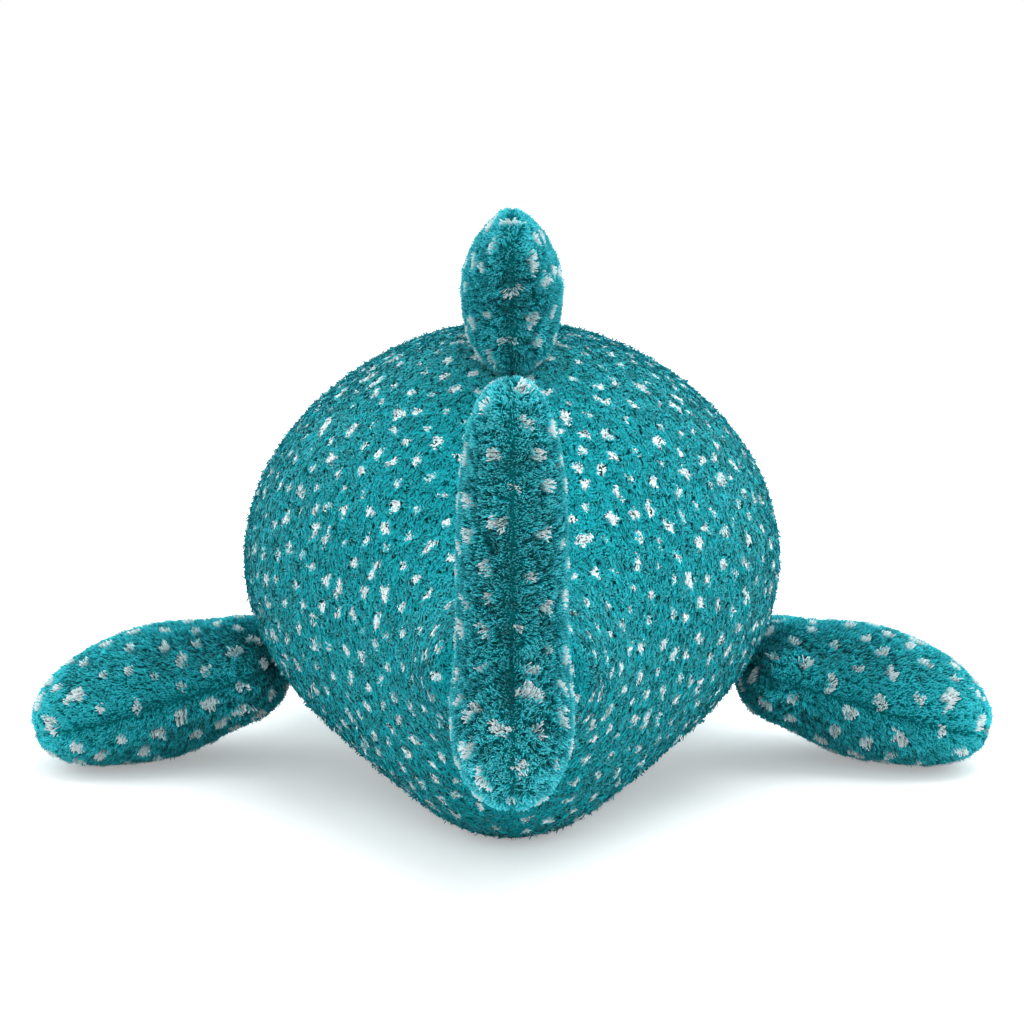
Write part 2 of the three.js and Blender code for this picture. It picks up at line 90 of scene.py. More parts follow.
# Bands of the colour map's second axis, teal below and white above, the dye's edge, and the shades of teal
TEAL_BAND = (0.03, 0.70)
WHITE_BAND = (0.80, 0.97)
BAND_EDGE = 0.75
STRAND_BAND = 0.002
DYE_EDGE = 0.0008
DYE_SPREAD = 0.0003
SHADES = (0.74, 1.24)

# How strands differ from one another, as shares, and in radians for their turn, curl and twist
TURN_SPREAD = 0.75
LENGTH_SPREAD = (0.86, 1.08)
LENGTH_RIPPLE = 0.05
LEAN_SPREAD = 0.05
LEAN_LIMITS = (0.1, 0.96)
GATHER_SPREAD = (0.6, 1.3)
CURL = 0.15
CURL_SPREAD = (0.3, 1.0)
CURL_WAVE = 1.6 * np.pi
TWIST_SPREAD = 0.42
WIDTH_SPREAD = (0.75, 1.2)
TINT_SPREAD = 0.12
TINT_WAVE = 0.012

# The few strands that stray from their locks, and the strands of a white tuft
STRAY_SHARE = 0.03
STRAY_LENGTH = 1.15
STRAY_LIFT = 0.15
STRAY_GATHER = 0.1
TUFT_LEAN = 0.62
TUFT_GATHER = 0.5
TUFT_WIDTH = 1.4

# White tufts: places tried on a square millimetre, and how the blots differ and waver
TUFT_TRIES = 0.35
TUFT_REACH = (0.72, 1.25)
TUFT_STRETCH = (0.15, 0.55)
TUFT_WAVER = 0.22
TUFT_WAVE = 0.004

# Where the pile starts and ends: below the cloth, above the floor, round the eyes, inside the root seams
ROOT_SINK = 0.0004
PILE_ABOVE_FLOOR = 0.0003
EYE_CLEARING = 0.0072
EYE_REACH = 0.02
INSIDE_FIN = 0.004
INSIDE_BODY = 0.006
MOUTH_CLEARING = 0.004

# Share of the strands left out beneath the belly, where the cloth faces down this much
BELLY_THINNING = 0.55
FACING_DOWN = -0.8

# The body's pile: its lie, tone and divisions, then the widths of the seams' parting and painted shade,
# and the fins' density
BODY_FLOW = (0.0, -1.5, -0.5)
BODY_TONE = (0.595, 0.735)
BODY_THIRDS = (-0.075, 0.045)
BODY_SEAM = 0.0022
FIN_SEAM = 0.0016
FIN_DENSITY = 1.6

# Starts of the random draws
SEEDS = dict(
    body_roots=11, body_tufts=5, body_tint=21, body_strands=31,
    fin_roots=41, fin_tufts=51, fin_tint=71, fin_strands=81)
HASH_START = 0x9E3779B97F4A7C15
HASH_FACTORS = (0xFF51AFD7ED558CCD, 0xC4CEB9FE1A85EC53)

# Cloth simulation that stuffs the forms, the spacing of its meshes and the strips held at the seams
STUFFING_FRAMES = 20
STUFFING_PRESSURE = 40
CLOTH_STRETCH = 0.4
STUFFING_CAP = 0.003
CLOTH_ABOVE_FLOOR = 0.0008
BODY_MESH = 0.006
FIN_MESH = 0.004
BODY_SEAM_HELD = 0.003
FIN_SEAM_HELD = 0.0022

# Length of one turn of the mouth's two plies
PLY_PITCH = 0.0042

# Soft lamps, each with its place, width and power, and the glow of the floor for the camera
LAMPS = (
    ("overhead_softbox", (0.25, 0.2, 1.45), 1.3, 12.0),
    ("left_softbox", (-1.1, 1.0, 0.55), 1.2, 9.0),
    ("right_softbox", (1.1, 1.0, 0.55), 1.2, 13.0),
)
PAPER_GLOW = 0.34


def measure(label, default, text):
    """A length among the settings."""
    return bpy.props.FloatProperty(
        name=label, description=text, default=default, unit="LENGTH", precision=5)


def dye(label, default, text):
    """A colour among the settings."""
    return bpy.props.FloatVectorProperty(
        name=label, description=text, default=default, subtype="COLOR", size=3, min=0, max=1)


class SharkSizes(bpy.types.PropertyGroup):
    """Sizes of the stuffed forms, as the solids have them."""

    widest_place: measure("Widest section", 0.061481, "Place along the toy of the body's widest section")
    body_width: measure("Body width", 0.225, "Width of the body at its widest section")
    body_height: measure("Body height", 0.185, "Height of the body at its widest section")
    girth_height: measure("Girth height", 0.0855, "Height of the widest line of the widest section")
    head_length: measure("Head length", 0.165, "Length from the widest section to the nose")
    nose_height: measure("Nose height", 0.064, "Height of the tip of the nose")
    back_length: measure("Back length", 0.192, "Length from the widest section to the tail stock")
    belly_length: measure("Belly length", 0.109, "Length of the resting belly behind the widest section")
    belly_press: measure("Belly press", 0.0045, "How far the belly is pressed flat by the floor")
    stock_width: measure("Stock width", 0.066, "Width of the tail stock")
    stock_top: measure("Stock top", 0.108, "Height of the top of the tail stock")
    stock_bottom: measure("Stock bottom", 0.054, "Height of the bottom of the tail stock")
    stock_cap: measure("Stock cap", 0.016, "Length of the stock's rounded end")
    gusset_chin: measure("Gusset at the chin", 0.038, "Height of the gusset's seam at the chin")
    gusset_flank: measure("Gusset at the flank", 0.024, "Height of the gusset's seam along the flank")
    gusset_stock: measure("Gusset at the stock", 0.068, "Height of the gusset's seam at the tail stock")
    eye_forward: measure("Eye place", 0.112, "Place of the eyes in front of the widest section")
    eye_height: measure("Eye height", 0.070, "Height of the eyes")
    eye_width: measure("Eye width", 0.014, "Width of an eye")
    eye_dome: measure("Eye dome", 0.005, "How far an eye's dome stands out")
    stem_width: measure("Eye stem", 0.0045, "Width of an eye's stem")
    stem_length: measure("Eye stem length", 0.013, "Length of an eye's stem below its dome")
    mouth_height: measure("Mouth height", 0.052, "Height of the stitched mouth")
    mouth_width: measure("Mouth width", 0.130, "Width of the stitched mouth")
    mouth_thread: measure("Mouth thread", 0.0026, "Thickness of the mouth's thread")


class SharkPlush(bpy.types.PropertyGroup):
    """The pile and its colours."""

    cloth_body: measure("Body cloth depth", 0.0022, "Depth of the body's unstuffed cloth in the solids")
    cloth_fin: measure("Fin cloth depth", 0.0038, "Depth of the fins' unstuffed cloth in the solids")
    pile_body: measure("Body pile", 0.0038, "Length of a strand on the body")
    pile_fin: measure("Fin pile", 0.0037, "Length of a strand on the fins")
    strand_body: measure("Body strands", 0.00054, "Width of a strand on the body")
    strand_fin: measure("Fin strands", 0.00040, "Width of a strand on the fins")
    lock_body: measure("Body locks", 0.0026, "Spacing of the locks that the body's strands gather in")
    lock_fin: measure("Fin locks", 0.0025, "Spacing of the locks that the fins' strands gather in")
    tuft_body: measure("Body tufts", 0.0019, "Radius of a white tuft on the body")
    tuft_fin: measure("Fin tufts", 0.0019, "Radius of a white tuft on the fins")
    tuft_space_body: measure("Body tuft spacing", 0.0092, "Least spacing of the white tufts on the body")
    tuft_space_fin: measure("Fin tuft spacing", 0.0108, "Least spacing of the white tufts on the fins")
    strands_per_mm2: bpy.props.FloatProperty(
        name="Strands", description="Strands on a square millimetre of cloth", default=2.1, min=0.1, max=3)
    # Strands run from darker roots to paler tips: partly the pile's own tone, partly painted shade deep in
    # the pile and a painted sheen at the tips for pale rims
    teal_root: dye("Teal root", (0.0, 0.07, 0.08), "Colour of a teal strand at its root")
    teal_low: dye("Teal low", (0.0, 0.165, 0.195), "Colour of a teal strand half way up")
    teal_middle: dye("Teal middle", (0.002, 0.325, 0.38), "Colour of a teal strand above its middle")
    teal_high: dye("Teal high", (0.03, 0.62, 0.70), "Colour of a teal strand near its tip")
    teal_tip: dye("Teal tip", (0.20, 0.80, 0.86), "Colour of a teal strand at its tip")
    white_root: dye("White root", (0.78, 0.92, 0.93), "Colour of a white strand at its root")
    white_tip: dye("White tip", (0.86, 0.94, 0.95), "Colour of a white strand at its tip")
    backing: dye("Backing cloth", (0.0, 0.20, 0.22), "Colour of the knitted backing cloth")


class SharkStage(bpy.types.PropertyGroup):
    """Floor, light and camera."""

    camera_distance: measure("Camera distance", 1.25, "Distance from the camera to what it looks at")
    aim_height: measure("Aim height", 0.107, "Height of the point that the camera looks at")
    camera_rise: bpy.props.FloatProperty(
        name="Camera rise", description="Angle of the camera above the horizon",
        default=math.radians(10), subtype="ANGLE")
    lens: bpy.props.FloatProperty(
        name="Lens", description="Focal length in millimetres on a 36 mm sensor", default=105.1)
    floor_radius: measure("Floor radius", 9.0, "Radius of the floor")
    sky: bpy.props.FloatProperty(
        name="Surrounding light", description="Strength of the even light from all around", default=0.98)


def sizes():
    """The sizes that are set."""
    return bpy.context.scene.shark_sizes


def plush():
    """The pile and colours that are set."""
    return bpy.context.scene.shark_plush


def clamp01(t):
    """Values held between 0 and 1."""
    return np.clip(t, 0.0, 1.0)


def fall(t):
    """Half a cosine wave, from 1 at 0 to 0 at 1."""
    return 0.5 * (1 + np.cos(np.pi * t))


def dome(t, power):
    """Height of a rounded end: the power-th root of 1 less t to that power."""
    return (1 - clamp01(t) ** power) ** (1 / power)


def oval(c, power):
    """A sine or cosine reshaped so that a ring of them is an oval of this power."""
    return np.sign(c) * np.abs(c) ** (2 / power)


def unit(v):
    """Each row made one long."""
    return v / np.maximum(np.linalg.norm(v, axis=-1, keepdims=True), 1e-12)


def body_section(y, inset):
    """Half width, top, bottom and girth height of the body at each place y from its widest section.

    The head's lengths close by domes towards the nose. The back's go from the widest section to
    the tail stock by half cosine waves, and close about the stock's middle by domes, of which the
    upright one is squarer.
    """
    s = sizes()
    ahead = clamp01(y / (s.head_length - inset))
    head = (
        (s.body_width / 2 - inset) * dome(ahead, SNOUT_POWER),
        s.nose_height + (s.body_height - inset - s.nose_height) * dome(ahead, CROWN_POWER),
        s.nose_height + (inset - s.belly_press - s.nose_height) * dome(ahead, SNOUT_POWER),
        s.girth_height + (s.nose_height - s.girth_height) * ahead ** 2,
    )
    behind = clamp01(-y / s.back_length)
    lift = 1 - fall(clamp01((-y - s.belly_length) / (s.back_length - s.belly_length)))
    middle = (s.stock_top + s.stock_bottom) / 2
    half = (s.stock_width + (s.body_width - s.stock_width) * fall(behind ** FLANK_TAPER)) / 2 - inset
    top = s.stock_top + (s.body_height - s.stock_top) * fall(behind ** BACK_FALL) - inset
    bottom = (s.stock_bottom + s.belly_press) * lift - s.belly_press + inset
    girth = s.girth_height + (middle - s.girth_height) * (1 - fall(behind))
    end = (-y - s.back_length) / (s.stock_cap - inset)
    upright = dome(end, STOCK_END_POWER)
    back = (half * dome(end, 2), *(middle + (edge - middle) * upright for edge in (top, bottom, girth)))
    return [np.where(y > 0, a, b) for a, b in zip(head, back)]


def body_grid(inset):
    """The body's rings of points from stock to nose: ovals across it, pressed flat at the floor."""
    s = sizes()
    turn = np.linspace(0, np.pi, ROWS + 1)[1:-1]
    low, high = -s.back_length - s.stock_cap + inset, s.head_length - inset
    y = low + (high - low) * 0.5 * (1 - np.cos(turn))
    half, top, bottom, girth = (edge[:, None] for edge in body_section(y, inset))
    angle = 2 * np.pi * np.arange(COLUMNS) / COLUMNS
    up, out = oval(np.cos(angle), BODY_POWER), oval(np.sin(angle), BODY_POWER)
    z = girth + up * np.where(up > 0, top - girth, girth - bottom)
    rings = np.stack([half * out, y[:, None] + 0 * z + s.widest_place, np.maximum(z, inset)], -1)
    start = (0, low + s.widest_place, (s.stock_top + s.stock_bottom) / 2)
    return np.array(start), rings, np.array((0, high + s.widest_place, s.nose_height))


def body_side(y, z):
    """Half width of the body at places y from its widest section and heights z."""
    half, top, bottom, girth = body_section(y, 0.0)
    reach = np.maximum(np.where(z > girth, top - girth, girth - bottom), 1e-9)
    return half * dome(np.abs(z - girth) / reach, BODY_POWER)


def in_body(points, inset):
    """Whether each point is in the body set in from its outside."""
    half, top, bottom, girth = body_section(points[:, 1] - sizes().widest_place, inset)
    z = points[:, 2]
    reach = np.maximum(np.where(z > girth, top - girth, girth - bottom), 1e-9)
    across = np.abs(points[:, 0]) / np.maximum(half, 1e-9)
    return across ** BODY_POWER + (np.abs(z - girth) / reach) ** BODY_POWER < 1


def gusset_height(y):
    """Height of the gusset's seam at each place: level along the flank, rising to chin and stock."""
    s = sizes()
    chin = clamp01(y / s.head_length)
    stock = clamp01((-y - s.belly_length) / (s.back_length + s.stock_cap - s.belly_length))
    rise = (s.gusset_chin - s.gusset_flank) * (1 - fall(chin))
    return s.gusset_flank + rise + (s.gusset_stock - s.gusset_flank) * stock ** 1.4


class Fin:
    """A leaf-shaped fin: its hinge line's middle, the ways of its chord and span, and its sizes."""

    def __init__(self, name, joint, chord_way, span_way, panels, **lengths):
        self.name = name
        self.centre = np.array(JOINTS[joint]["pos_m"])
        chord, span = np.array(chord_way), np.array(span_way)
        self.axes = np.stack([chord, np.cross(span, chord), span], 1)
        self.panels = panels
        self.__dict__.update(lengths)

    def inward(self, points):
        """Points in the fin's own frame: along the chord, through the thickness, out from the body."""
        return (points - self.centre) @ self.axes

    def outward(self, points):
        """Points of the fin's own frame in the toy's frame."""
        return points @ self.axes.T + self.centre

    def tip_share(self, local):
        """How near each point of the fin's own frame is to a tip: 0 over most of it, 1 at the tip."""
        along = local[:, self.tip_axis]
        return clamp01(np.maximum(*((along - start) / (end - start) for start, end in self.tips)))

    def on_seam(self, points):
        """Whether each point is on the seam between the fin's two panels."""
        return np.abs(self.inward(points)[:, 1]) < FIN_SEAM_HELD


def swell(t, root, full, full_at, power):
    """Growth from a fin's root to its fullest place, and its rounding off to the tip by a dome."""
    grown = root + (full - root) * (1 - fall(clamp01(t / full_at)))
    return np.where(t < full_at, grown, full * dome((t - full_at) / (1 - full_at), power))


def leaf_section(fin, z, inset, tip_inset):
    """Middle, half chord and half thickness of a leaf fin at each distance z out from its hinge line."""
    radius = fin.root_thickness / 2 - inset
    tip = fin.span - tip_inset
    start = radius * math.sin(ROOT_WAIST)
    turn = np.arcsin(np.clip(z / np.where(z < 0, radius + fin.root_depth, radius), -1, 1))
    share = clamp01((z - start) / (tip - start))
    waist = radius * math.cos(ROOT_WAIST)
    root_half = fin.root_chord / 2 - inset
    chord = swell(share, root_half, fin.chord / 2 - inset, fin.full_at, CHORD_TIP_POWER)
    thickness = swell(share, waist, fin.thickness / 2 - inset, fin.full_at, fin.tip_power)
    in_root = z < start
    half_chord = np.where(in_root, root_half * np.cos(np.minimum(turn, 0)) ** fin.root_round, chord)
    half_thickness = np.where(in_root, radius * np.cos(turn), thickness)
    return -fin.sweep * np.maximum(z / tip, 0) ** SWEEP_POWER, half_chord, half_thickness


def oval_rings(centres, chord_ways, half_chords, half_thicknesses):
    """Rings across each centre: ovals along a chord and through the thickness, which is local Y."""
    angle = 2 * np.pi * np.arange(COLUMNS) / COLUMNS
    along = half_chords[:, None] * oval(np.cos(angle), FIN_POWER)
    across = half_thicknesses[:, None] * oval(np.sin(angle), FIN_POWER)
    rings = centres[:, None] + along[..., None] * chord_ways[:, None]
    rings[..., 1] += across
    return rings


def leaf_grid(fin, inset, tip_inset):
    """A leaf fin's rings from its round root, about the hinge line, to its rounded tip.

    Its under side is fuller near the root by a share that fades out along the span.
    """
    low, high = inset - fin.root_thickness / 2 - fin.root_depth, fin.span - tip_inset
    z = low + (high - low) * 0.5 * (1 - np.cos(np.linspace(0, np.pi, ROWS + 1)))
    middle, half_chord, half_thickness = leaf_section(fin, z, inset, tip_inset)
    centres = np.stack([middle, 0 * z, z], 1)
    ways = np.tile((1.0, 0.0, 0.0), (len(z), 1))
    rings = oval_rings(centres[1:-1], ways[1:-1], half_chord[1:-1], half_thickness[1:-1])
    fuller = fin.fuller_under * fall(clamp01(z[1:-1] / (0.7 * fin.span)))[:, None]
    rings[..., 1] *= np.where(rings[..., 1] < 0, 1 + fuller, 1)
    return tuple(fin.outward(part) for part in (centres[0], rings, centres[-1]))


def lobe_grid(fin, lobe, inset, tip_inset):
    """A tail lobe's rings: ovals square to a quadratic curve from inside the root leaf to the tip."""
    start, knee, tip = (np.array((x, 0, z)) for x, z in lobe["path"])
    t = (np.sin(np.linspace(0, np.pi / 2, ROWS + 1)) * (1 - tip_inset / lobe["length"]))[:, None]
    path = (1 - t) ** 2 * start + 2 * t * (1 - t) * knee + t ** 2 * tip
    way = unit(2 * (1 - t) * (knee - start) + 2 * t * (tip - knee))
    share = t[:, 0] / t[-1, 0]
    half_chord = swell(
        share, lobe["root_chord"] / 2 - inset, lobe["chord"] / 2 - inset, lobe["full_at"], CHORD_TIP_POWER)
    half_thickness = swell(
        share, lobe["root_thickness"] / 2 - inset, lobe["thickness"] / 2 - inset, lobe["full_at"],
        lobe["power"])
    chord_ways = np.cross((0.0, 1.0, 0.0), way)
    rings = oval_rings(path[:-1], chord_ways[:-1], half_chord[:-1], half_thickness[:-1])
    return tuple(fin.outward(part) for part in (path[0], rings, path[-1]))


def in_leaf(fin, points, inset):
    """Whether each point is in a leaf fin set in from its outside."""
    x, y, z = fin.inward(points).T
    middle, half_chord, half_thickness = leaf_section(fin, z, inset, inset)
    along = np.abs(x - middle) / np.maximum(half_chord, 1e-9)
    across = np.abs(y) / np.maximum(half_thickness, 1e-9)
    between = (z > inset - fin.root_thickness / 2 - fin.root_depth) & (z < fin.span - inset)
    return between & (along ** FIN_POWER + across ** FIN_POWER < 1)


# Fins: their sizes, how fast their ends close, and how their pile lies, is combed, parts and is toned; a
# low tone start shows more of the darker roots, painted shade that makes the fins darker than the body
DROOP = math.radians(15)
ROUND_ROOT = dict(root_depth=0.0, root_round=1.0)
UPRIGHT_PILE = dict(lie=0.46, comb=1.1, part=0.8, burst=0.8)
PECTORAL = dict(
    span=0.094, root_chord=0.082, chord=0.088, root_thickness=0.038, thickness=0.053, full_at=0.42,
    tip_power=2.2, tip_inset=0.0034, fuller_under=0.36, lie=0.62, comb=2.0, part=1.0, burst=0.4,
    tone=(0.20, 0.92), tip_axis=2, tips=((0.068, 0.092), (0.068, 0.092)), **ROUND_ROOT)
DORSAL_FIN = Fin(
    "dorsal_fin", "dorsal_fin_sway", (0, 0.9836, 0.1804), (0, -0.1804, 0.9836),
    ("panel_left", "panel_right"), span=0.0535, root_chord=0.092, chord=0.082, root_thickness=0.038,
    thickness=0.042, sweep=0.034, full_at=0.28, tip_power=1.3, tip_inset=0.0006, fuller_under=0.0,
    tone=(0.14, 0.96), tip_axis=2, tips=((0.040, 0.053), (0.040, 0.053)), **ROUND_ROOT, **UPRIGHT_PILE)
LEFT_FIN = Fin(
    "left_fin", "left_fin_flap", (0, -1, 0), (-math.cos(DROOP), 0, -math.sin(DROOP)),
    ("upper_panel", "lower_panel"), sweep=-0.018, **PECTORAL)
RIGHT_FIN = Fin(
    "right_fin", "right_fin_flap", (0, 1, 0), (math.cos(DROOP), 0, -math.sin(DROOP)),
    ("upper_panel", "lower_panel"), sweep=0.018, **PECTORAL)
TAIL_FIN = Fin(
    "tail_fin", "tail_fin_swing", (0, 0, 1), (0, -1, 0), ("panel_left", "panel_right"),
    span=0.040, root_chord=0.048, chord=0.048, root_thickness=0.024, thickness=0.045, sweep=0.0,
    full_at=0.42, tip_power=2.2, tip_inset=0.0010, fuller_under=0.0, root_depth=0.010, root_round=0.25,
    tone=(0.13, 0.98), tip_axis=0, tips=((0.095, 0.118), (0.004, -0.022)), **UPRIGHT_PILE)
FINS = (DORSAL_FIN, LEFT_FIN, RIGHT_FIN, TAIL_FIN)
UPPER_LOBE = dict(
    path=((-0.004, 0.024), (0.052, 0.017), (0.115, 0.050)), length=0.125, root_chord=0.040,
    root_thickness=0.042, chord=0.056, thickness=0.037, full_at=0.45, power=2.8)
LOWER_LOBE = dict(
    path=((0.004, 0.024), (0.004, 0.046), (-0.022, 0.066)), length=0.051, root_chord=0.040,
    root_thickness=0.042, chord=0.050, thickness=0.043, full_at=0.45, power=2.2)


def put_mesh(name, points, loops, starts):
    """A mesh object from its points, the points of its faces in order, and where each face begins."""
    mesh = bpy.data.meshes.new(name)
    mesh.vertices.add(len(points))
    mesh.vertices.foreach_set("co", np.ascontiguousarray(points, np.float32).ravel())
    mesh.loops.add(len(loops))
    mesh.loops.foreach_set("vertex_index", np.ascontiguousarray(loops, np.int32))
    mesh.polygons.add(len(starts))
    mesh.polygons.foreach_set("loop_start", np.ascontiguousarray(starts, np.int32))
    mesh.update(calc_edges=True)
    mesh.validate()
    made = bpy.data.objects.new(name, mesh)
    bpy.context.scene.collection.objects.link(made)
    return made


def closed_grid(start, rings, end):
    """Points and faces of rings that close to a point at each end, facing outwards."""
    count, around = rings.shape[:2]
    points = np.concatenate([start[None], rings.reshape(-1, 3), end[None]])
    ring = 1 + np.arange(count)[:, None] * around + np.arange(around)
    ahead = np.roll(ring, -1, 1)
    quads = np.stack([ring[:-1], ahead[:-1], ahead[1:], ring[1:]], -1).reshape(-1, 4)
    first = np.stack([np.zeros(around, int), ahead[0], ring[0]], 1)
    last = np.stack([np.full(around, len(points) - 1), ring[-1], ahead[-1]], 1)
    return points, quads, np.concatenate([first, last])


def shells(name, grids):
    """One mesh object of one or more closed grids."""
    points, loops, starts, base, at = [], [], [], 0, 0
    for grid in grids:
        co, quads, tris = closed_grid(*grid)
        loops += [quads.ravel() + base, tris.ravel() + base]
        starts += [at + 4 * np.arange(len(quads)), at + quads.size + 3 * np.arange(len(tris))]
        points.append(co)
        base += len(co)
        at += quads.size + tris.size
    return put_mesh(name, np.concatenate(points), np.concatenate(loops), np.concatenate(starts))


def with_modifiers_applied(obj):
    """The object with its modifiers made part of its mesh."""
    bpy.context.view_layer.update()
    graph = bpy.context.evaluated_depsgraph_get()
    made = bpy.data.meshes.new_from_object(obj.evaluated_get(graph))
    old = obj.data
    obj.modifiers.clear()
    obj.data = made
    bpy.data.meshes.remove(old)
    made.name = obj.name
    return obj


def vertex_rows(mesh, name):
    """A mesh's vertex values of this name, three in a row."""
    rows = np.empty(len(mesh.vertices) * 3, np.float32)
    mesh.vertices.foreach_get(name, rows)
    return rows.reshape(-1, 3).astype(float)


def points_of(mesh):
    """A mesh's points."""
    return vertex_rows(mesh, "co")


def normals_of(mesh):
    """A mesh's normals at its points."""
    return vertex_rows(mesh, "normal")


def even_mesh(obj, voxel, rounds):
    """The object's shells joined into one even mesh, and smoothed."""
    remesh = obj.modifiers.new("Even", "REMESH")
    remesh.mode = "VOXEL"
    remesh.voxel_size = voxel
    smooth = obj.modifiers.new("Smooth", "SMOOTH")
    smooth.factor = 0.5
    smooth.iterations = rounds
    return with_modifiers_applied(obj)


def stuff(forms):
    """Swells closed cloth forms by air pressure, held along their seams, and caps how far they move."""
    scene = bpy.context.scene
    rest = [points_of(obj.data) for obj, _ in forms]
    for obj, seam in forms:
        held = obj.vertex_groups.new(name="seam")
        held.add(np.flatnonzero(seam).tolist(), 1.0, "REPLACE")
        cloth = obj.modifiers.new("Stuffing", "CLOTH")
        cloth.settings.use_pressure = True
        cloth.settings.uniform_pressure_force = STUFFING_PRESSURE
        cloth.settings.effector_weights.gravity = 0
        cloth.settings.quality = 5
        cloth.settings.tension_stiffness = CLOTH_STRETCH
        cloth.settings.compression_stiffness = CLOTH_STRETCH
        cloth.settings.shear_stiffness = CLOTH_STRETCH
        cloth.settings.vertex_group_mass = held.name
        cloth.point_cache.frame_start = 1
        cloth.point_cache.frame_end = STUFFING_FRAMES
    for number in range(1, STUFFING_FRAMES + 1):
        scene.frame_set(number)
    for obj, _ in forms:
        with_modifiers_applied(obj)
        obj.vertex_groups.clear()
    scene.frame_set(1)
    for (obj, _), co in zip(forms, rest):
        move = points_of(obj.data) - co
        length = np.linalg.norm(move, axis=1, keepdims=True)
        co = co + move * np.minimum(1, STUFFING_CAP / np.maximum(length, 1e-9))
        co[:, 2] = np.maximum(co[:, 2], CLOTH_ABOVE_FLOOR)
        obj.data.vertices.foreach_set("co", co.astype(np.float32).ravel())
        obj.data.update()
        finer = obj.modifiers.new("Finer", "SUBSURF")
        finer.levels = finer.render_levels = 1
        with_modifiers_applied(obj)


def ripple(points, wave, seed):
    """A smooth random field of about this wavelength: a sum of eight sine waves, of size about 1."""
    rng = np.random.default_rng(seed)
    ways = unit(rng.normal(size=(8, 3))) * (2 * np.pi / wave)
    return np.sin(points @ ways.T + rng.uniform(0, 2 * np.pi, 8)).sum(1) / 2


def mixed(cells, salt):
    """A random number from 0 to 1 for each whole-number cell, by multiplying and folding its bits."""
    h = np.full(len(cells), HASH_START + salt, np.uint64)
    for axis in range(3):
        h ^= cells[:, axis].astype(np.uint64)
        for factor in HASH_FACTORS:
            h *= np.uint64(factor)
            h ^= h >> np.uint64(33)
    return (h >> np.uint64(11)).astype(float) / float(1 << 53)


def nearest_lock(points, spacing, seed):
    """The nearest point of a jittered lattice to each point, and that lattice point's random number."""
    cell = np.floor(points / spacing).astype(np.int64)
    best = np.full(len(points), np.inf)
    centre = np.zeros_like(points)
    number = np.zeros(len(points))
    for step in itertools.product((-1, 0, 1), repeat=3):
        corner = cell + np.array(step)
        jitter = np.stack([mixed(corner, seed + axis) for axis in range(3)], 1)
        place = (corner + jitter) * spacing
        distance = ((place - points) ** 2).sum(1)
        closer = distance < best
        best[closer] = distance[closer]
        centre[closer] = place[closer]
        number[closer] = mixed(corner[closer], seed + 7)
    return centre, number


class Roots:
    """Places on a form's cloth where strands are rooted, spread evenly by area."""

    def __init__(self, form, per_mm2, seed):
        mesh = form.data
        mesh.calc_loop_triangles()
        co, normals = points_of(mesh), normals_of(mesh)
        tris = np.empty(len(mesh.loop_triangles) * 3, np.int32)
        mesh.loop_triangles.foreach_get("vertices", tris)
        tris = tris.reshape(-1, 3)
        a, b, c = (co[tris[:, i]] for i in range(3))
        area = 0.5 * np.linalg.norm(np.cross(b - a, c - a), axis=1)
        total = np.cumsum(area)
        count = int(total[-1] * 1e6 * per_mm2)
        self.rng = np.random.default_rng(seed)
        picks = (np.arange(count) + self.rng.uniform(size=count)) / count * total[-1]
        tri = tris[np.minimum(np.searchsorted(total, picks), len(tris) - 1)]
        r, s = self.rng.uniform(size=(2, count))
        over = r + s > 1
        r, s = np.where(over, 1 - r, r), np.where(over, 1 - s, s)
        share = np.stack([1 - r - s, r, s], 1)
        self.points = (co[tri] * share[..., None]).sum(1)
        self.normals = unit((normals[tri] * share[..., None]).sum(1))

    def keep(self, which):
        """Leaves only these roots."""
        self.points, self.normals = self.points[which], self.normals[which]


class Tufts:
    """White tufts of a form: blots about random places, thinned until none lies near another.

    A blot's radius differs from tuft to tuft, wavers with a smooth field, and is longer one way.
    """

    def __init__(self, form, spacing, radius, seed):
        roots = Roots(form, TUFT_TRIES, seed)
        points = roots.points[roots.rng.permutation(len(roots.points))]
        alive = np.ones(len(points), bool)
        for i in range(len(points)):
            if alive[i]:
                alive[i + 1:] &= ((points[i + 1:] - points[i]) ** 2).sum(1) > spacing ** 2
        self.centres = points[alive]
        count = len(self.centres)
        self.reach = radius * roots.rng.uniform(*TUFT_REACH, count)
        self.long_way = unit(roots.rng.normal(size=(count, 3)))
        self.stretch = roots.rng.uniform(*TUFT_STRETCH, count)
        self.seed = seed

    def nearest(self, points):
        """Number of the nearest tuft to each point."""
        found = np.zeros(len(points), int)
        for part in np.array_split(np.arange(len(points)), max(1, len(points) // 20000)):
            gap = (self.centres ** 2).sum(1) - 2 * points[part] @ self.centres.T
            found[part] = gap.argmin(1)
        return found

    def depth(self, points, which):
        """How far each point lies inside its tuft's blot, less than nothing outside it."""
        out = points - self.centres[which]
        along = np.abs((out * self.long_way[which]).sum(1))
        distance = np.linalg.norm(out, axis=1) - self.stretch[which] * along
        waver = 1 + TUFT_WAVER * ripple(points, TUFT_WAVE, self.seed + 1)
        return self.reach[which] * waver - distance


def along_cloth(ways, normals):
    """The part of each way that lies along the cloth."""
    return ways - normals * (ways * normals).sum(1, keepdims=True)


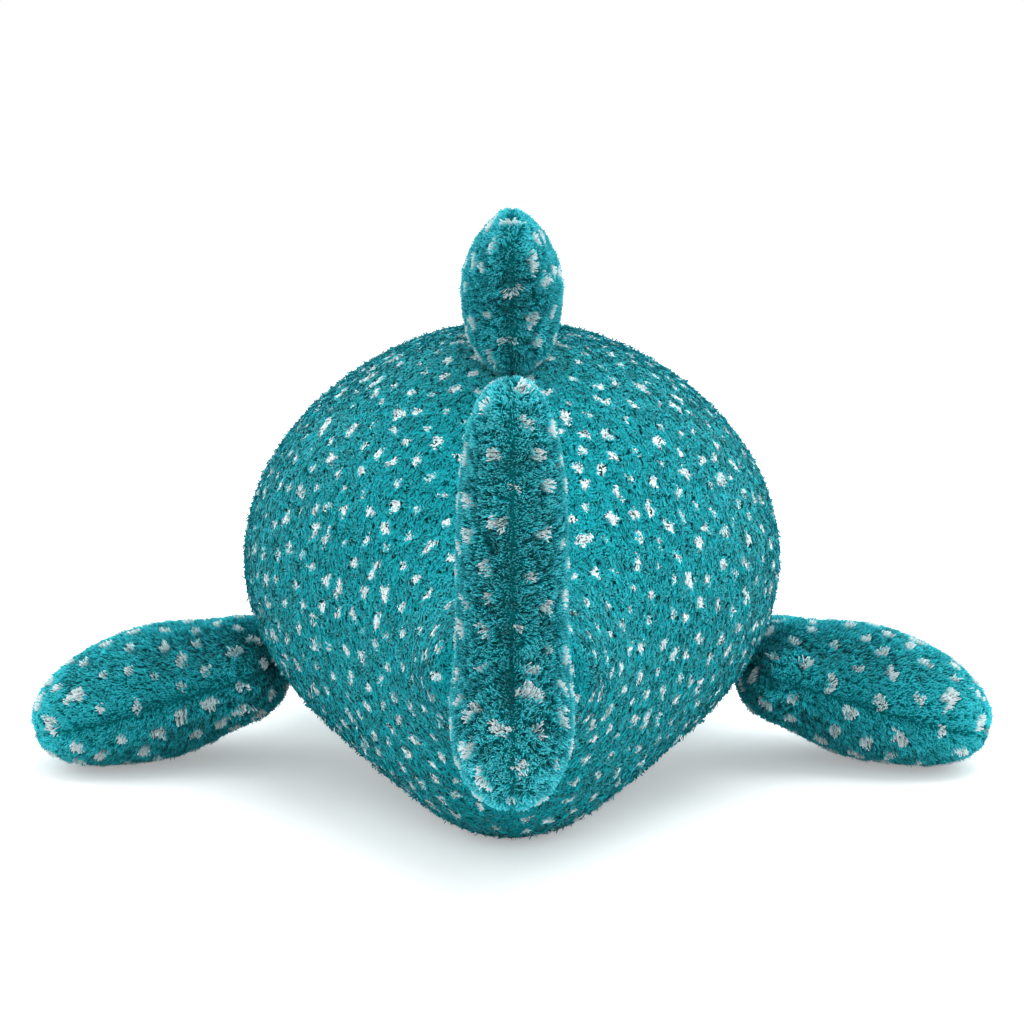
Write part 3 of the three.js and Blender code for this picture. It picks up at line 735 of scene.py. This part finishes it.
def strands(roots, tufts, seed, *, length, width, lean, lock, gather, flow, burst, short, tint, tone):
    """Points and colour places of curved ribbons, five points each, one for each root.

    A strand goes up along the normal and over along its own lean, by the square root of what the
    lean leaves. Its tip draws in to the middle of its lock, and a sine wave curls it sideways.
    With a burst, the strands rooted in a tuft are white, stand straighter and lean out from its
    middle. Without one, the tufts are dyed into lying pile, so a strand is white where it is in a blot.
    """
    rng = np.random.default_rng(seed)
    points, normals = roots.points, roots.normals
    count = len(points)
    centre, number = nearest_lock(points, lock, seed + 11)
    which = tufts.nearest(points)
    inside = tufts.depth(points, which)
    out = points - tufts.centres[which]
    white = (inside > 0) & (burst > 0)
    turn = 2 * np.pi * number + rng.normal(0, TURN_SPREAD, count)
    helper = np.where(np.abs(normals[:, :1]) < 0.8, [[1.0, 0, 0]], [[0, 1.0, 0]])
    first = unit(np.cross(normals, helper))
    second = np.cross(normals, first)
    fan = np.where(white[:, None], burst * unit(out), 0)
    way = first * np.cos(turn)[:, None] + second * np.sin(turn)[:, None] + flow + fan
    way = unit(along_cloth(way, normals))
    side = np.cross(way, normals)
    stray = (rng.uniform(size=count) < STRAY_SHARE) & ~white
    long = length * rng.uniform(*LENGTH_SPREAD, count)
    long = long * (1 + LENGTH_RIPPLE * ripple(points, 2.6 * lock, seed + 3))
    long = long * np.where(stray, STRAY_LENGTH, 1.0) * short
    lean = np.where(white, TUFT_LEAN * lean, lean)
    lean = np.clip(lean + rng.normal(0, LEAN_SPREAD, count) - STRAY_LIFT * stray, *LEAN_LIMITS)
    inward = along_cloth(np.where(white[:, None], -TUFT_GATHER * out, centre - points), normals)
    gather = np.where(stray, STRAY_GATHER, gather * rng.uniform(*GATHER_SPREAD, count))
    phase = rng.uniform(0, 2 * np.pi, count)
    curl = rng.uniform(*CURL_SPREAD, count) * CURL * long
    twist = rng.normal(0, TWIST_SPREAD, count)
    t = STATIONS[None, :]
    over = lean[:, None] * t ** 1.5
    up = np.sqrt(np.maximum(t ** 2 - over ** 2, 0))
    wave = np.sin(CURL_WAVE * t + phase[:, None]) - np.sin(phase)[:, None]
    path = points[:, None] - ROOT_SINK * normals[:, None]
    path = path + (long[:, None] * up)[..., None] * normals[:, None]
    path = path + (long[:, None] * over)[..., None] * way[:, None]
    path = path + (gather[:, None] * t ** 2)[..., None] * inward[:, None]
    path = path + (curl[:, None] * wave)[..., None] * side[:, None]
    ahead = unit(np.gradient(path, axis=1))
    flat = unit(side[:, None] - ahead * (side[:, None] * ahead).sum(-1, keepdims=True))
    tilt = np.cross(ahead, flat)
    flat = flat * np.cos(twist)[:, None, None] + tilt * np.sin(twist)[:, None, None]
    wide = width * rng.uniform(*WIDTH_SPREAD, count) * np.where(inside > 0, TUFT_WIDTH, 1.0)
    spread = 0.5 * wide[:, None] * TAPER
    left = path[:, 1:] - spread[..., None] * flat[:, 1:]
    right = path[:, 1:] + spread[..., None] * flat[:, 1:]
    shape = np.stack([left, right], 2).reshape(count, 4, 3)
    shape = np.concatenate([path[:, :1], shape], 1)
    shape[..., 2] = np.maximum(shape[..., 2], PILE_ABOVE_FLOOR)
    if burst > 0:
        depth = np.repeat(inside[:, None], 3, 1)
    else:
        which = tufts.nearest(path[:, 1])
        depth = np.stack([tufts.depth(path[:, i], which) for i in range(3)], 1)
        depth = depth + rng.normal(0, DYE_SPREAD, count)[:, None]
    # The tint holds random tone and, as the callers give it, painted shade and painted highlight
    varied = clamp01(0.5 + 0.5 * tint + TINT_SPREAD * rng.normal(size=count))
    return shape, colour_places(depth, varied, tone)


def colour_places(depth, varied, tone):
    """Places of strands' points in the colour map: along by tone from root to tip, across by band.

    A strand's depth in a white tuft picks the white band or the teal one, with a soft edge between.
    """
    shade = TEAL_BAND[0] + (TEAL_BAND[1] - TEAL_BAND[0]) * varied
    teal = shade[:, None] + (BAND_EDGE - shade[:, None]) * clamp01(1 + depth / DYE_EDGE)
    dyed = WHITE_BAND[0] + (WHITE_BAND[1] - WHITE_BAND[0]) * clamp01(depth / DYE_EDGE)
    band = np.repeat(np.where(depth > 0, dyed, teal), (1, 2, 2), axis=1)
    start = np.broadcast_to(tone[0], len(varied))[:, None]
    u = np.repeat(start + (tone[1] - start) * STATIONS, (1, 2, 2), axis=1)
    v = band + STRAND_BAND * np.array([0, -1, 1, -1, 1])
    return np.stack([u, v], -1)


def pile_piece(name, shape, places, material):
    """A mesh piece of many strands, each a triangle at its root and a four-sided face to its blunt tip."""
    count = len(shape)
    loops = (5 * np.arange(count)[:, None] + STRAND_LOOPS).ravel()
    starts = (7 * np.arange(count)[:, None] + STRAND_STARTS).ravel()
    made = put_mesh(name, shape.reshape(-1, 3), loops, starts)
    colour_map = made.data.uv_layers.new(name="OFBake")
    colour_map.data.foreach_set("uv", places.reshape(-1, 2)[loops].astype(np.float32).ravel())
    made.data.materials.append(material)
    return made


class Finish:
    """A procedural material in the making, with its shader and ways to add and join nodes."""

    def __init__(self, name):
        self.material = bpy.data.materials.new(name)
        self.material.use_nodes = True
        self.tree = self.material.node_tree
        self.link = self.tree.links.new
        self.shader = next(node for node in self.tree.nodes if node.type == "BSDF_PRINCIPLED")

    def add(self, kind, **values):
        """A new node, with each value set on the property or else on the input of that name."""
        node = self.tree.nodes.new(f"ShaderNode{kind}")
        for key, value in values.items():
            if hasattr(node, key):
                setattr(node, key, value)
            else:
                node.inputs[key].default_value = value
        return node

    def mottle(self, scale, detail, *stops, stretch=None):
        """Colours the surface through the stops by noise in object coordinates, and gives that noise."""
        place = self.add("TexCoord").outputs["Object"]
        if stretch:
            stretched = self.add("Mapping", Scale=stretch)
            self.link(place, stretched.inputs["Vector"])
            place = stretched.outputs["Vector"]
        noise = self.add("TexNoise", Scale=scale, Detail=detail)
        colour = self.add("ValToRGB")
        ramp_of(colour, *stops)
        self.link(place, noise.inputs["Vector"])
        self.link(noise.outputs["Fac"], colour.inputs["Fac"])
        self.link(colour.outputs["Color"], self.shader.inputs["Base Color"])
        return noise.outputs["Fac"]

    def roughen(self, value, low, high):
        """Roughness from low to high by a value from 0 to 1."""
        rough = self.add("MapRange", **{"To Min": low, "To Max": high})
        self.link(value, rough.inputs["Value"])
        self.link(rough.outputs["Result"], self.shader.inputs["Roughness"])

    def emboss(self, height, strength, distance):
        """Small relief by a height, in the shading only."""
        bump = self.add("Bump", Strength=strength, Distance=distance)
        self.link(height, bump.inputs["Height"])
        self.link(bump.outputs["Normal"], self.shader.inputs["Normal"])

    def done(self, values):
        """The material, with those of the shader's values that are the same all over."""
        for name, value in values.items():
            self.shader.inputs[name].default_value = value
        return self.material


def ramp_of(node, *stops):
    """Sets a colour ramp's stops, each a place and a colour."""
    ramp = node.color_ramp
    while len(ramp.elements) < len(stops):
        ramp.elements.new(0.5)
    for element, (place, colour) in zip(ramp.elements, stops):
        element.position = place
        element.color = (*colour, 1)


def pile_material(name, sheen):
    """Strand colours from the colour map, and a shade for each strand. Roots are darker and tips paler:
    partly the pile's own tone, partly painted shade deep in the pile and a painted sheen at the tips.
    """
    p = plush()
    pile = Finish(name)
    where = pile.add("UVMap", uv_map="OFBake")
    apart = pile.add("SeparateXYZ")
    teal = pile.add("ValToRGB")
    # Dark roots are partly painted shade in the pile; the pale last stop is partly a painted rim sheen
    ramp_of(
        teal, (0.0, p.teal_root), (0.40, p.teal_low), (0.66, p.teal_middle), (0.86, p.teal_high),
        (1.0, p.teal_tip))
    white = pile.add("ValToRGB")
    ramp_of(white, (0.0, p.white_root), (0.6, p.white_tip))
    limits = ("From Min", "From Max", "To Min", "To Max")
    shade = pile.add("MapRange", **dict(zip(limits, TEAL_BAND + SHADES)))
    shaded = pile.add("VectorMath", operation="SCALE")
    is_white = pile.add("Math", operation="GREATER_THAN")
    is_white.inputs[1].default_value = BAND_EDGE
    colour = pile.add("Mix", data_type="RGBA")
    link = pile.link
    link(where.outputs["UV"], apart.inputs[0])
    link(apart.outputs["X"], teal.inputs["Fac"])
    link(apart.outputs["X"], white.inputs["Fac"])
    link(apart.outputs["Y"], shade.inputs["Value"])
    link(apart.outputs["Y"], is_white.inputs[0])
    link(teal.outputs["Color"], shaded.inputs[0])
    link(shade.outputs["Result"], shaded.inputs["Scale"])
    link(is_white.outputs[0], colour.inputs["Factor"])
    link(shaded.outputs[0], colour.inputs["A"])
    link(white.outputs["Color"], colour.inputs["B"])
    link(colour.outputs["Result"], pile.shader.inputs["Base Color"])
    return pile.done({
        "Roughness": 0.72, "Specular IOR Level": 0.02, "Sheen Weight": sheen, "Sheen Roughness": 0.3,
        "Sheen Tint": (0.4, 0.92, 0.95, 1)})


def backing_material():
    """Knitted backing cloth: mottled by noise, with fine cells as the relief of its loops."""
    pale = plush().backing
    cloth = Finish("plush_backing")
    cloth.mottle(160.0, 4.0, (0.3, tuple(0.6 * c for c in pale)), (0.7, pale))
    where = cloth.add("TexCoord")
    knit = cloth.add("TexVoronoi", Scale=900.0)
    cloth.link(where.outputs["Object"], knit.inputs["Vector"])
    cloth.emboss(knit.outputs["Distance"], 0.4, 0.0004)
    return cloth.done({"Roughness": 0.9, "Specular IOR Level": 0.15})


def eye_material():
    """Polished black plastic with a deep brown cast and the faint waviness of a moulding."""
    polish = Finish("eye_polish")
    cloud = polish.mottle(220.0, 2.0, (0.35, (0.004, 0.004, 0.005)), (0.7, (0.012, 0.010, 0.010)))
    polish.roughen(cloud, 0.05, 0.12)
    return polish.done({"Specular IOR Level": 0.3, "Coat Weight": 0.15, "Coat Roughness": 0.04})


def thread_material():
    """Matte embroidery thread: dark teal fibres, streaked by stretched noise."""
    thread = Finish("mouth_embroidery")
    fibre = thread.mottle(
        1.0, 3.0, (0.3, (0.003, 0.022, 0.028)), (0.7, (0.010, 0.055, 0.065)), stretch=(300, 300, 2500))
    thread.emboss(fibre, 0.3, 0.0002)
    return thread.done({"Roughness": 0.8, "Sheen Weight": 0.2})


def washer_material():
    """Moulded satin plastic with a fine grain."""
    plastic = Finish("washer_plastic")
    grain = plastic.mottle(700.0, 3.0, (0.3, (0.68, 0.66, 0.60)), (0.7, (0.76, 0.74, 0.69)))
    plastic.roughen(grain, 0.42, 0.6)
    return plastic.material


def floor_material():
    """White studio paper: matte, with a plain glow for the camera that lifts it to white."""
    paper = Finish("white_paper")
    paper.mottle(60.0, 5.0, (0.3, (0.83, 0.83, 0.83)), (0.7, (0.85, 0.85, 0.85)))
    glow = paper.add("Emission")
    level = paper.add("Math", operation="MULTIPLY")
    level.inputs[1].default_value = PAPER_GLOW
    both = paper.add("AddShader")
    paper.link(seen_by_camera(paper.tree), level.inputs[0])
    paper.link(level.outputs[0], glow.inputs["Strength"])
    paper.link(paper.shader.outputs[0], both.inputs[0])
    paper.link(glow.outputs[0], both.inputs[1])
    paper.link(both.outputs[0], paper.tree.nodes["Material Output"].inputs["Surface"])
    return paper.done({"Roughness": 0.95, "Specular IOR Level": 0.0})


def seen_by_camera(tree):
    """A node output that is 1 for rays from the camera and in gloss, and 0 for the light's own."""
    path = tree.nodes.new("ShaderNodeLightPath")
    either = tree.nodes.new("ShaderNodeMath")
    either.operation = "MAXIMUM"
    tree.links.new(path.outputs["Is Camera Ray"], either.inputs[0])
    tree.links.new(path.outputs["Is Glossy Ray"], either.inputs[1])
    return either.outputs[0]


def form_named(name):
    """A stuffed form that is there already."""
    found = bpy.data.objects.get(name)
    if found is None:
        raise RuntimeError(f"{name} isn't there; stuff the forms first")
    return found


def body_seams(points):
    """Whether each point is on the back's seam or on the gusset's."""
    edge = gusset_height(points[:, 1] - sizes().widest_place)
    back = (np.abs(points[:, 0]) < BODY_SEAM_HELD) & (points[:, 2] > edge)
    return back | (np.abs(points[:, 2] - edge) < BODY_SEAM_HELD)


def sew(piece, fin):
    """Fixes a fin's piece in place in the toy's frame; the ends of its sewn root are worked out but not
    used.
    """
    reach = fin.root_thickness / 2
    start = fin.outward(np.array((0, 0, -0.4 * reach)))
    end = fin.outward(np.array((0, 0, 1.2 * reach)))
    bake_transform(piece)


class SHARK_OT_stuffed_forms(bpy.types.Operator):
    """Sew and stuff the padded forms of the body and the fins"""

    bl_idname = "shark.stuffed_forms"
    bl_label = "Stuffed Forms"

    def execute(self, context):
        body = even_mesh(shells("body_stuffed", [body_grid(plush().cloth_body)]), BODY_MESH, 2)
        forms = [(body, body_seams(points_of(body.data)))]
        inset = plush().cloth_fin
        for fin in FINS:
            grids = [leaf_grid(fin, inset, fin.tip_inset)]
            if fin is TAIL_FIN:
                grids += [lobe_grid(fin, lobe, inset, fin.tip_inset) for lobe in (UPPER_LOBE, LOWER_LOBE)]
            form = even_mesh(shells(f"{fin.name}_stuffed", grids), FIN_MESH, 4)
            forms.append((form, fin.on_seam(points_of(form.data))))
        stuff(forms)
        backing = backing_material()
        for (form, _), fin in zip(forms, (None, *FINS)):
            form.data.materials.clear()
            form.data.materials.append(backing)
            if fin is None:
                node = "body"
                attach(form, "body")
            else:
                node = fin.name
                sew(form, fin)
            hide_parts(f"{node}_stuffing")
        return {"FINISHED"}


def bare_places(roots):
    """Where the body has no pile: under the fins and the eyes, and in part beneath it."""
    points = roots.points
    bare = np.zeros(len(points), bool)
    for fin in FINS:
        bare |= in_leaf(fin, points, INSIDE_FIN)
    for side in (-1, 1):
        centre, axes = eye_frame(side)
        off = (points - centre) @ axes
        bare |= (np.hypot(off[:, 0], off[:, 2]) < EYE_CLEARING) & (np.abs(off[:, 1]) < EYE_REACH)
    beneath = roots.normals[:, 2] < FACING_DOWN
    return bare | (beneath & (roots.rng.uniform(size=len(bare)) < BELLY_THINNING))


def mouth_gap(points):
    """Distance of each point from the mouth's thread, or a metre where it is far behind."""
    mouth = mouth_line()
    gap = np.full(len(points), 1.0)
    front = points[:, 1] > mouth[:, 1].min() - 0.02
    for part in np.array_split(np.flatnonzero(front), 8):
        gap[part] = np.linalg.norm(points[part][:, None] - mouth[None], axis=2).min(1)
    return gap


class SHARK_OT_body_pile(bpy.types.Operator):
    """Lay the curly pile of the body's panels, with its white tufts"""

    bl_idname = "shark.body_pile"
    bl_label = "Body Pile"

    def execute(self, context):
        p = plush()
        form = form_named("body_stuffed")
        roots = Roots(form, p.strands_per_mm2, SEEDS["body_roots"])
        roots.keep(~bare_places(roots))
        points = roots.points
        x, z = points[:, 0], points[:, 2]
        y = points[:, 1] - sizes().widest_place
        edge = gusset_height(y)
        seam = np.minimum(np.abs(z - edge), np.where(z > edge, np.abs(x), 1))
        near_seam = np.exp(-(seam / BODY_SEAM) ** 2)
        short = 1 - 0.2 * near_seam
        past_mouth = np.maximum(mouth_gap(points) - MOUTH_CLEARING, 0)
        short *= 1 - 0.5 * np.exp(-(past_mouth / 0.002) ** 2)
        tufts = Tufts(form, p.tuft_space_body, p.tuft_body, SEEDS["body_tufts"])
        # The body's tint: random tone that wavers, and painted shade along the seams
        tint = 0.25 * ripple(points, TINT_WAVE, SEEDS["body_tint"]) - 0.3 * near_seam
        shape, places = strands(
            roots, tufts, SEEDS["body_strands"], length=p.pile_body, width=p.strand_body, lean=0.92,
            lock=p.lock_body, gather=0.18, flow=np.array(BODY_FLOW), burst=0.0, short=short, tint=tint,
            tone=BODY_TONE)
        material = pile_material("body_pile", 0.45)
        gusset = z < edge
        third = np.digitize(y, BODY_THIRDS)
        zones = [("belly_gusset_plush", "belly_gusset", gusset)]
        for side, half in (("left", x < 0), ("right", x >= 0)):
            for number, zone in enumerate(("rear", "middle", "head")):
                here = ~gusset & half & (third == number)
                zones.append((f"body_panel_{side}_plush_{zone}", f"body_panel_{side}", here))
        for name, node, here in zones:
            piece = pile_piece(name, shape[here], places[here], material)
            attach(piece, "body")
            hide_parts(node)
        return {"FINISHED"}


class SHARK_OT_fin_pile(bpy.types.Operator):
    """Lay the combed pile of the fins' panels, parted at the seam, with its white tufts"""

    bl_idname = "shark.fin_pile"
    bl_label = "Fin Pile"

    def execute(self, context):
        p = plush()
        material = pile_material("fin_pile", 0.35)
        for order, fin in enumerate(FINS):
            form = form_named(f"{fin.name}_stuffed")
            roots = Roots(form, FIN_DENSITY * p.strands_per_mm2, SEEDS["fin_roots"] + order)
            roots.keep(~in_body(roots.points, INSIDE_BODY))
            local = fin.inward(roots.points)
            near_seam = np.exp(-(local[:, 1] / FIN_SEAM) ** 2)
            tufts = Tufts(form, p.tuft_space_fin, p.tuft_fin, SEEDS["fin_tufts"] + order)
            tip = fin.tip_share(local)
            # The fins' tint: random tone, darker all over as painted shade of their upright pile, painted
            # shade along the seam, and paler tips as a painted highlight
            tint = 0.2 * ripple(roots.points, TINT_WAVE, SEEDS["fin_tint"] + order)
            tint = tint - 0.3 - 0.6 * near_seam + 0.8 * tip
            aside = np.sign(local[:, 1:2]) * fin.axes[:, 1] * np.exp(-(local[:, 1:2] / 0.012) ** 2)
            # Near the tips the tone also starts higher, a painted highlight; the tips' lean is the pile's
            # own
            shape, places = strands(
                roots, tufts, SEEDS["fin_strands"] + order, length=p.pile_fin, width=p.strand_fin,
                lean=fin.lie + 0.2 * tip, lock=p.lock_fin, gather=0.12,
                flow=fin.comb * unit(roots.points - fin.centre) + fin.part * aside, burst=fin.burst,
                short=1 - 0.35 * near_seam, tint=tint, tone=(fin.tone[0] + 0.45 * tip, fin.tone[1]))
            for panel, here in zip(fin.panels, (local[:, 1] >= 0, local[:, 1] < 0)):
                piece = pile_piece(f"{fin.name}_{panel}_plush", shape[here], places[here], material)
                sew(piece, fin)
                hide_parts(f"{fin.name}_{panel}")
        return {"FINISHED"}


def eye_frame(side):
    """Middle of an eye on the cloth and its axes in columns, the second square to the flank."""
    s = sizes()
    y, z, step = np.array([s.eye_forward]), np.array([s.eye_height]), 0.001
    along_y = (body_side(y + step, z) - body_side(y - step, z))[0] / (2 * step)
    along_z = (body_side(y, z + step) - body_side(y, z - step))[0] / (2 * step)
    outward = unit(np.array((side, -along_y, -along_z)))
    first = unit(np.cross(outward, (0.0, 0.0, 1.0)))
    centre = np.array((side * body_side(y, z)[0], s.eye_forward + s.widest_place, s.eye_height))
    return centre + 0.0003 * outward, np.stack([first, outward, np.cross(first, outward)], 1)


def lathe(profile, centre, axes, around=48):
    """Rings of a profile of radius and height turned about the second axis, closed at both ends."""
    angle = -2 * np.pi * np.arange(around) / around
    radius, height = profile[1:-1, 0, None], profile[1:-1, 1, None]
    rings = np.stack([radius * np.cos(angle), height + 0 * angle, radius * np.sin(angle)], -1)
    ends = [np.array((0, profile[i, 1], 0)) @ axes.T + centre for i in (0, -1)]
    return ends[0], rings @ axes.T + centre, ends[1]


class SHARK_OT_eyes(bpy.types.Operator):
    """Make the two polished safety eyes, each a dome on a stem"""

    bl_idname = "shark.eyes"
    bl_label = "Eyes"

    def execute(self, context):
        s = sizes()
        rim, stem, low = s.eye_width / 2, s.stem_width / 2, -s.stem_length
        turn = np.linspace(0, np.pi / 2, 25)
        arc = np.stack([rim * np.cos(turn), s.eye_dome * np.sin(turn)], 1)
        tuck = [(0, low), (stem, low), (stem, -0.0005), (stem + 0.001, -0.0002), (rim - 0.0004, -0.0002)]
        profile = np.concatenate([np.array(tuck), arc])
        material = eye_material()
        for name, side in (("left_eye", -1), ("right_eye", 1)):
            centre, axes = eye_frame(side)
            eye = shells(f"{name}_dome", [lathe(profile, centre, axes)])
            eye.data.materials.append(material)
            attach(eye, "body")
            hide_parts(name)
        return {"FINISHED"}


def snout_at(x, z):
    """Place along the head where it is as wide as x at height z, by halving the interval."""
    near, far = np.zeros_like(x), np.full_like(x, sizes().head_length)
    for _ in range(30):
        middle = (near + far) / 2
        wider = body_side(middle, z) > np.abs(x)
        near, far = np.where(wider, middle, near), np.where(wider, far, middle)
    return near


def mouth_line(count=161):
    """Points of the mouth's thread, across the snout at one height, moved on to the stuffed cloth."""
    s = sizes()
    x = s.mouth_width * (np.linspace(0, 1, count) - 0.5)
    z = np.full(count, s.mouth_height)
    place = np.stack([x, snout_at(x, z) + s.widest_place, z], 1)
    mesh = form_named("body_stuffed").data
    co, normals = points_of(mesh), normals_of(mesh)
    head = co[:, 1] > place[:, 1].min() - 0.02
    co, normals = co[head], normals[head]
    near = ((place[:, None] - co[None]) ** 2).sum(2).argmin(1)
    gap = ((co[near] - place) * normals[near]).sum(1, keepdims=True)
    return place + (gap + 0.45 * s.mouth_thread) * normals[near]


class SHARK_OT_mouth(bpy.types.Operator):
    """Make the mouth's thread, a two-ply twist laid across the snout"""

    bl_idname = "shark.mouth"
    bl_label = "Mouth"

    def execute(self, context):
        path = mouth_line(321)
        ahead = unit(np.gradient(path, axis=0))
        up = np.tile((0.0, 0.0, 1.0), (len(path), 1))
        out = unit(np.cross(up, ahead))
        up = np.cross(ahead, out)
        run = np.concatenate([[0], np.cumsum(np.linalg.norm(np.diff(path, axis=0), axis=1))])
        angle = 2 * np.pi * np.arange(18) / 18
        ply = np.cos(2 * angle - 2 * np.pi * run[:, None] / PLY_PITCH)
        end = np.minimum(run, run[-1] - run) / (sizes().mouth_thread / 2)
        radius = sizes().mouth_thread / 2 * (0.84 + 0.16 * ply) * np.sqrt(clamp01(0.08 + end))[:, None]
        rings = path[:, None] + radius[..., None] * (
            np.cos(angle)[:, None] * out[:, None] + np.sin(angle)[:, None] * up[:, None])
        thread = shells("mouth_thread", [(path[0], rings[1:-1], path[-1])])
        thread.data.materials.append(thread_material())
        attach(thread, "body")
        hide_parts("mouth_stitching")
        return {"FINISHED"}


class SHARK_OT_washers(bpy.types.Operator):
    """Give the eye washers, inside the body, their moulded plastic"""

    bl_idname = "shark.washers"
    bl_label = "Eye Washers"

    def execute(self, context):
        plastic = washer_material()
        for name in ("left_eye_washer", "right_eye_washer"):
            mesh = frame["nodes"][name].data
            mesh.materials.clear()
            mesh.materials.append(plastic)
        return {"FINISHED"}


class SHARK_OT_stage(bpy.types.Operator):
    """Set the white floor, the soft light and the camera behind the tail"""

    bl_idname = "shark.stage"
    bl_label = "Stage"

    def execute(self, context):
        scene, g = context.scene, context.scene.shark_stage
        scene.view_settings.view_transform = "Standard"
        angle = 2 * np.pi * np.arange(96) / 96
        rim = np.stack([np.cos(angle), np.sin(angle), 0 * angle], 1) * g.floor_radius
        floor = put_mesh("floor", rim, np.arange(96), np.array([0]))
        floor.data.materials.append(floor_material())
        self.surroundings(scene, g.sky)
        aim = Vector((0, sizes().widest_place, g.aim_height))
        for name, place, size, power in LAMPS:
            self.lamp(name, place, aim, size, power)
        camera = bpy.data.objects.new("camera", bpy.data.cameras.new("camera"))
        scene.collection.objects.link(camera)
        back = Vector((0, -math.cos(g.camera_rise), math.sin(g.camera_rise)))
        camera.location = aim + g.camera_distance * back
        camera.rotation_euler = (-back).to_track_quat("-Z", "Y").to_euler()
        camera.data.lens = g.lens
        camera.data.sensor_width = 36
        camera.data.clip_start, camera.data.clip_end = 0.01, 100
        scene.camera = camera
        return {"FINISHED"}

    @staticmethod
    def surroundings(scene, strength):
        """Even white light from all around, seen as plain white by the camera and in gloss."""
        world = bpy.data.worlds.new("studio")
        scene.world = world
        world.use_nodes = True
        tree = world.node_tree
        lit = tree.nodes["Background"]
        seen = tree.nodes.new("ShaderNodeBackground")
        for light, level in ((lit, strength), (seen, 1)):
            light.inputs["Color"].default_value = (1, 1, 1, 1)
            light.inputs["Strength"].default_value = level
        mix = tree.nodes.new("ShaderNodeMixShader")
        tree.links.new(seen_by_camera(tree), mix.inputs["Fac"])
        tree.links.new(lit.outputs[0], mix.inputs[1])
        tree.links.new(seen.outputs[0], mix.inputs[2])
        tree.links.new(mix.outputs[0], tree.nodes["World Output"].inputs["Surface"])

    @staticmethod
    def lamp(name, place, aim, size, power):
        """A round soft lamp turned to the aim."""
        light = bpy.data.lights.new(name, "AREA")
        light.shape = "DISK"
        light.size = size
        light.energy = power
        made = bpy.data.objects.new(name, light)
        made.location = place
        made.rotation_euler = (aim - Vector(place)).to_track_quat("-Z", "Y").to_euler()
        bpy.context.scene.collection.objects.link(made)


class SHARK_PT_sidebar(bpy.types.Panel):
    """Lists the steps that build the whale shark"""

    bl_idname = "SHARK_PT_sidebar"
    bl_label = "Whale Shark"
    bl_space_type = "VIEW_3D"
    bl_region_type = "UI"
    bl_category = "Whale Shark"

    def draw(self, context):
        for step in STEPS:
            self.layout.operator(step.bl_idname)


STEPS = (
    SHARK_OT_stuffed_forms, SHARK_OT_body_pile, SHARK_OT_fin_pile, SHARK_OT_eyes, SHARK_OT_mouth,
    SHARK_OT_washers, SHARK_OT_stage)
CLASSES = (SharkSizes, SharkPlush, SharkStage, *STEPS, SHARK_PT_sidebar)
SETTINGS = {"shark_sizes": SharkSizes, "shark_plush": SharkPlush, "shark_stage": SharkStage}


def register():
    for cls in CLASSES:
        bpy.utils.register_class(cls)
    for name, cls in SETTINGS.items():
        setattr(bpy.types.Scene, name, bpy.props.PointerProperty(type=cls))


def unregister():
    for name in SETTINGS:
        delattr(bpy.types.Scene, name)
    for cls in reversed(CLASSES):
        bpy.utils.unregister_class(cls)


def main():
    register()
    bpy.ops.shark.stuffed_forms()
    bpy.ops.shark.body_pile()
    bpy.ops.shark.fin_pile()
    bpy.ops.shark.eyes()
    bpy.ops.shark.mouth()
    bpy.ops.shark.washers()
    bpy.ops.shark.stage()


if __name__ == "__main__":
    main()
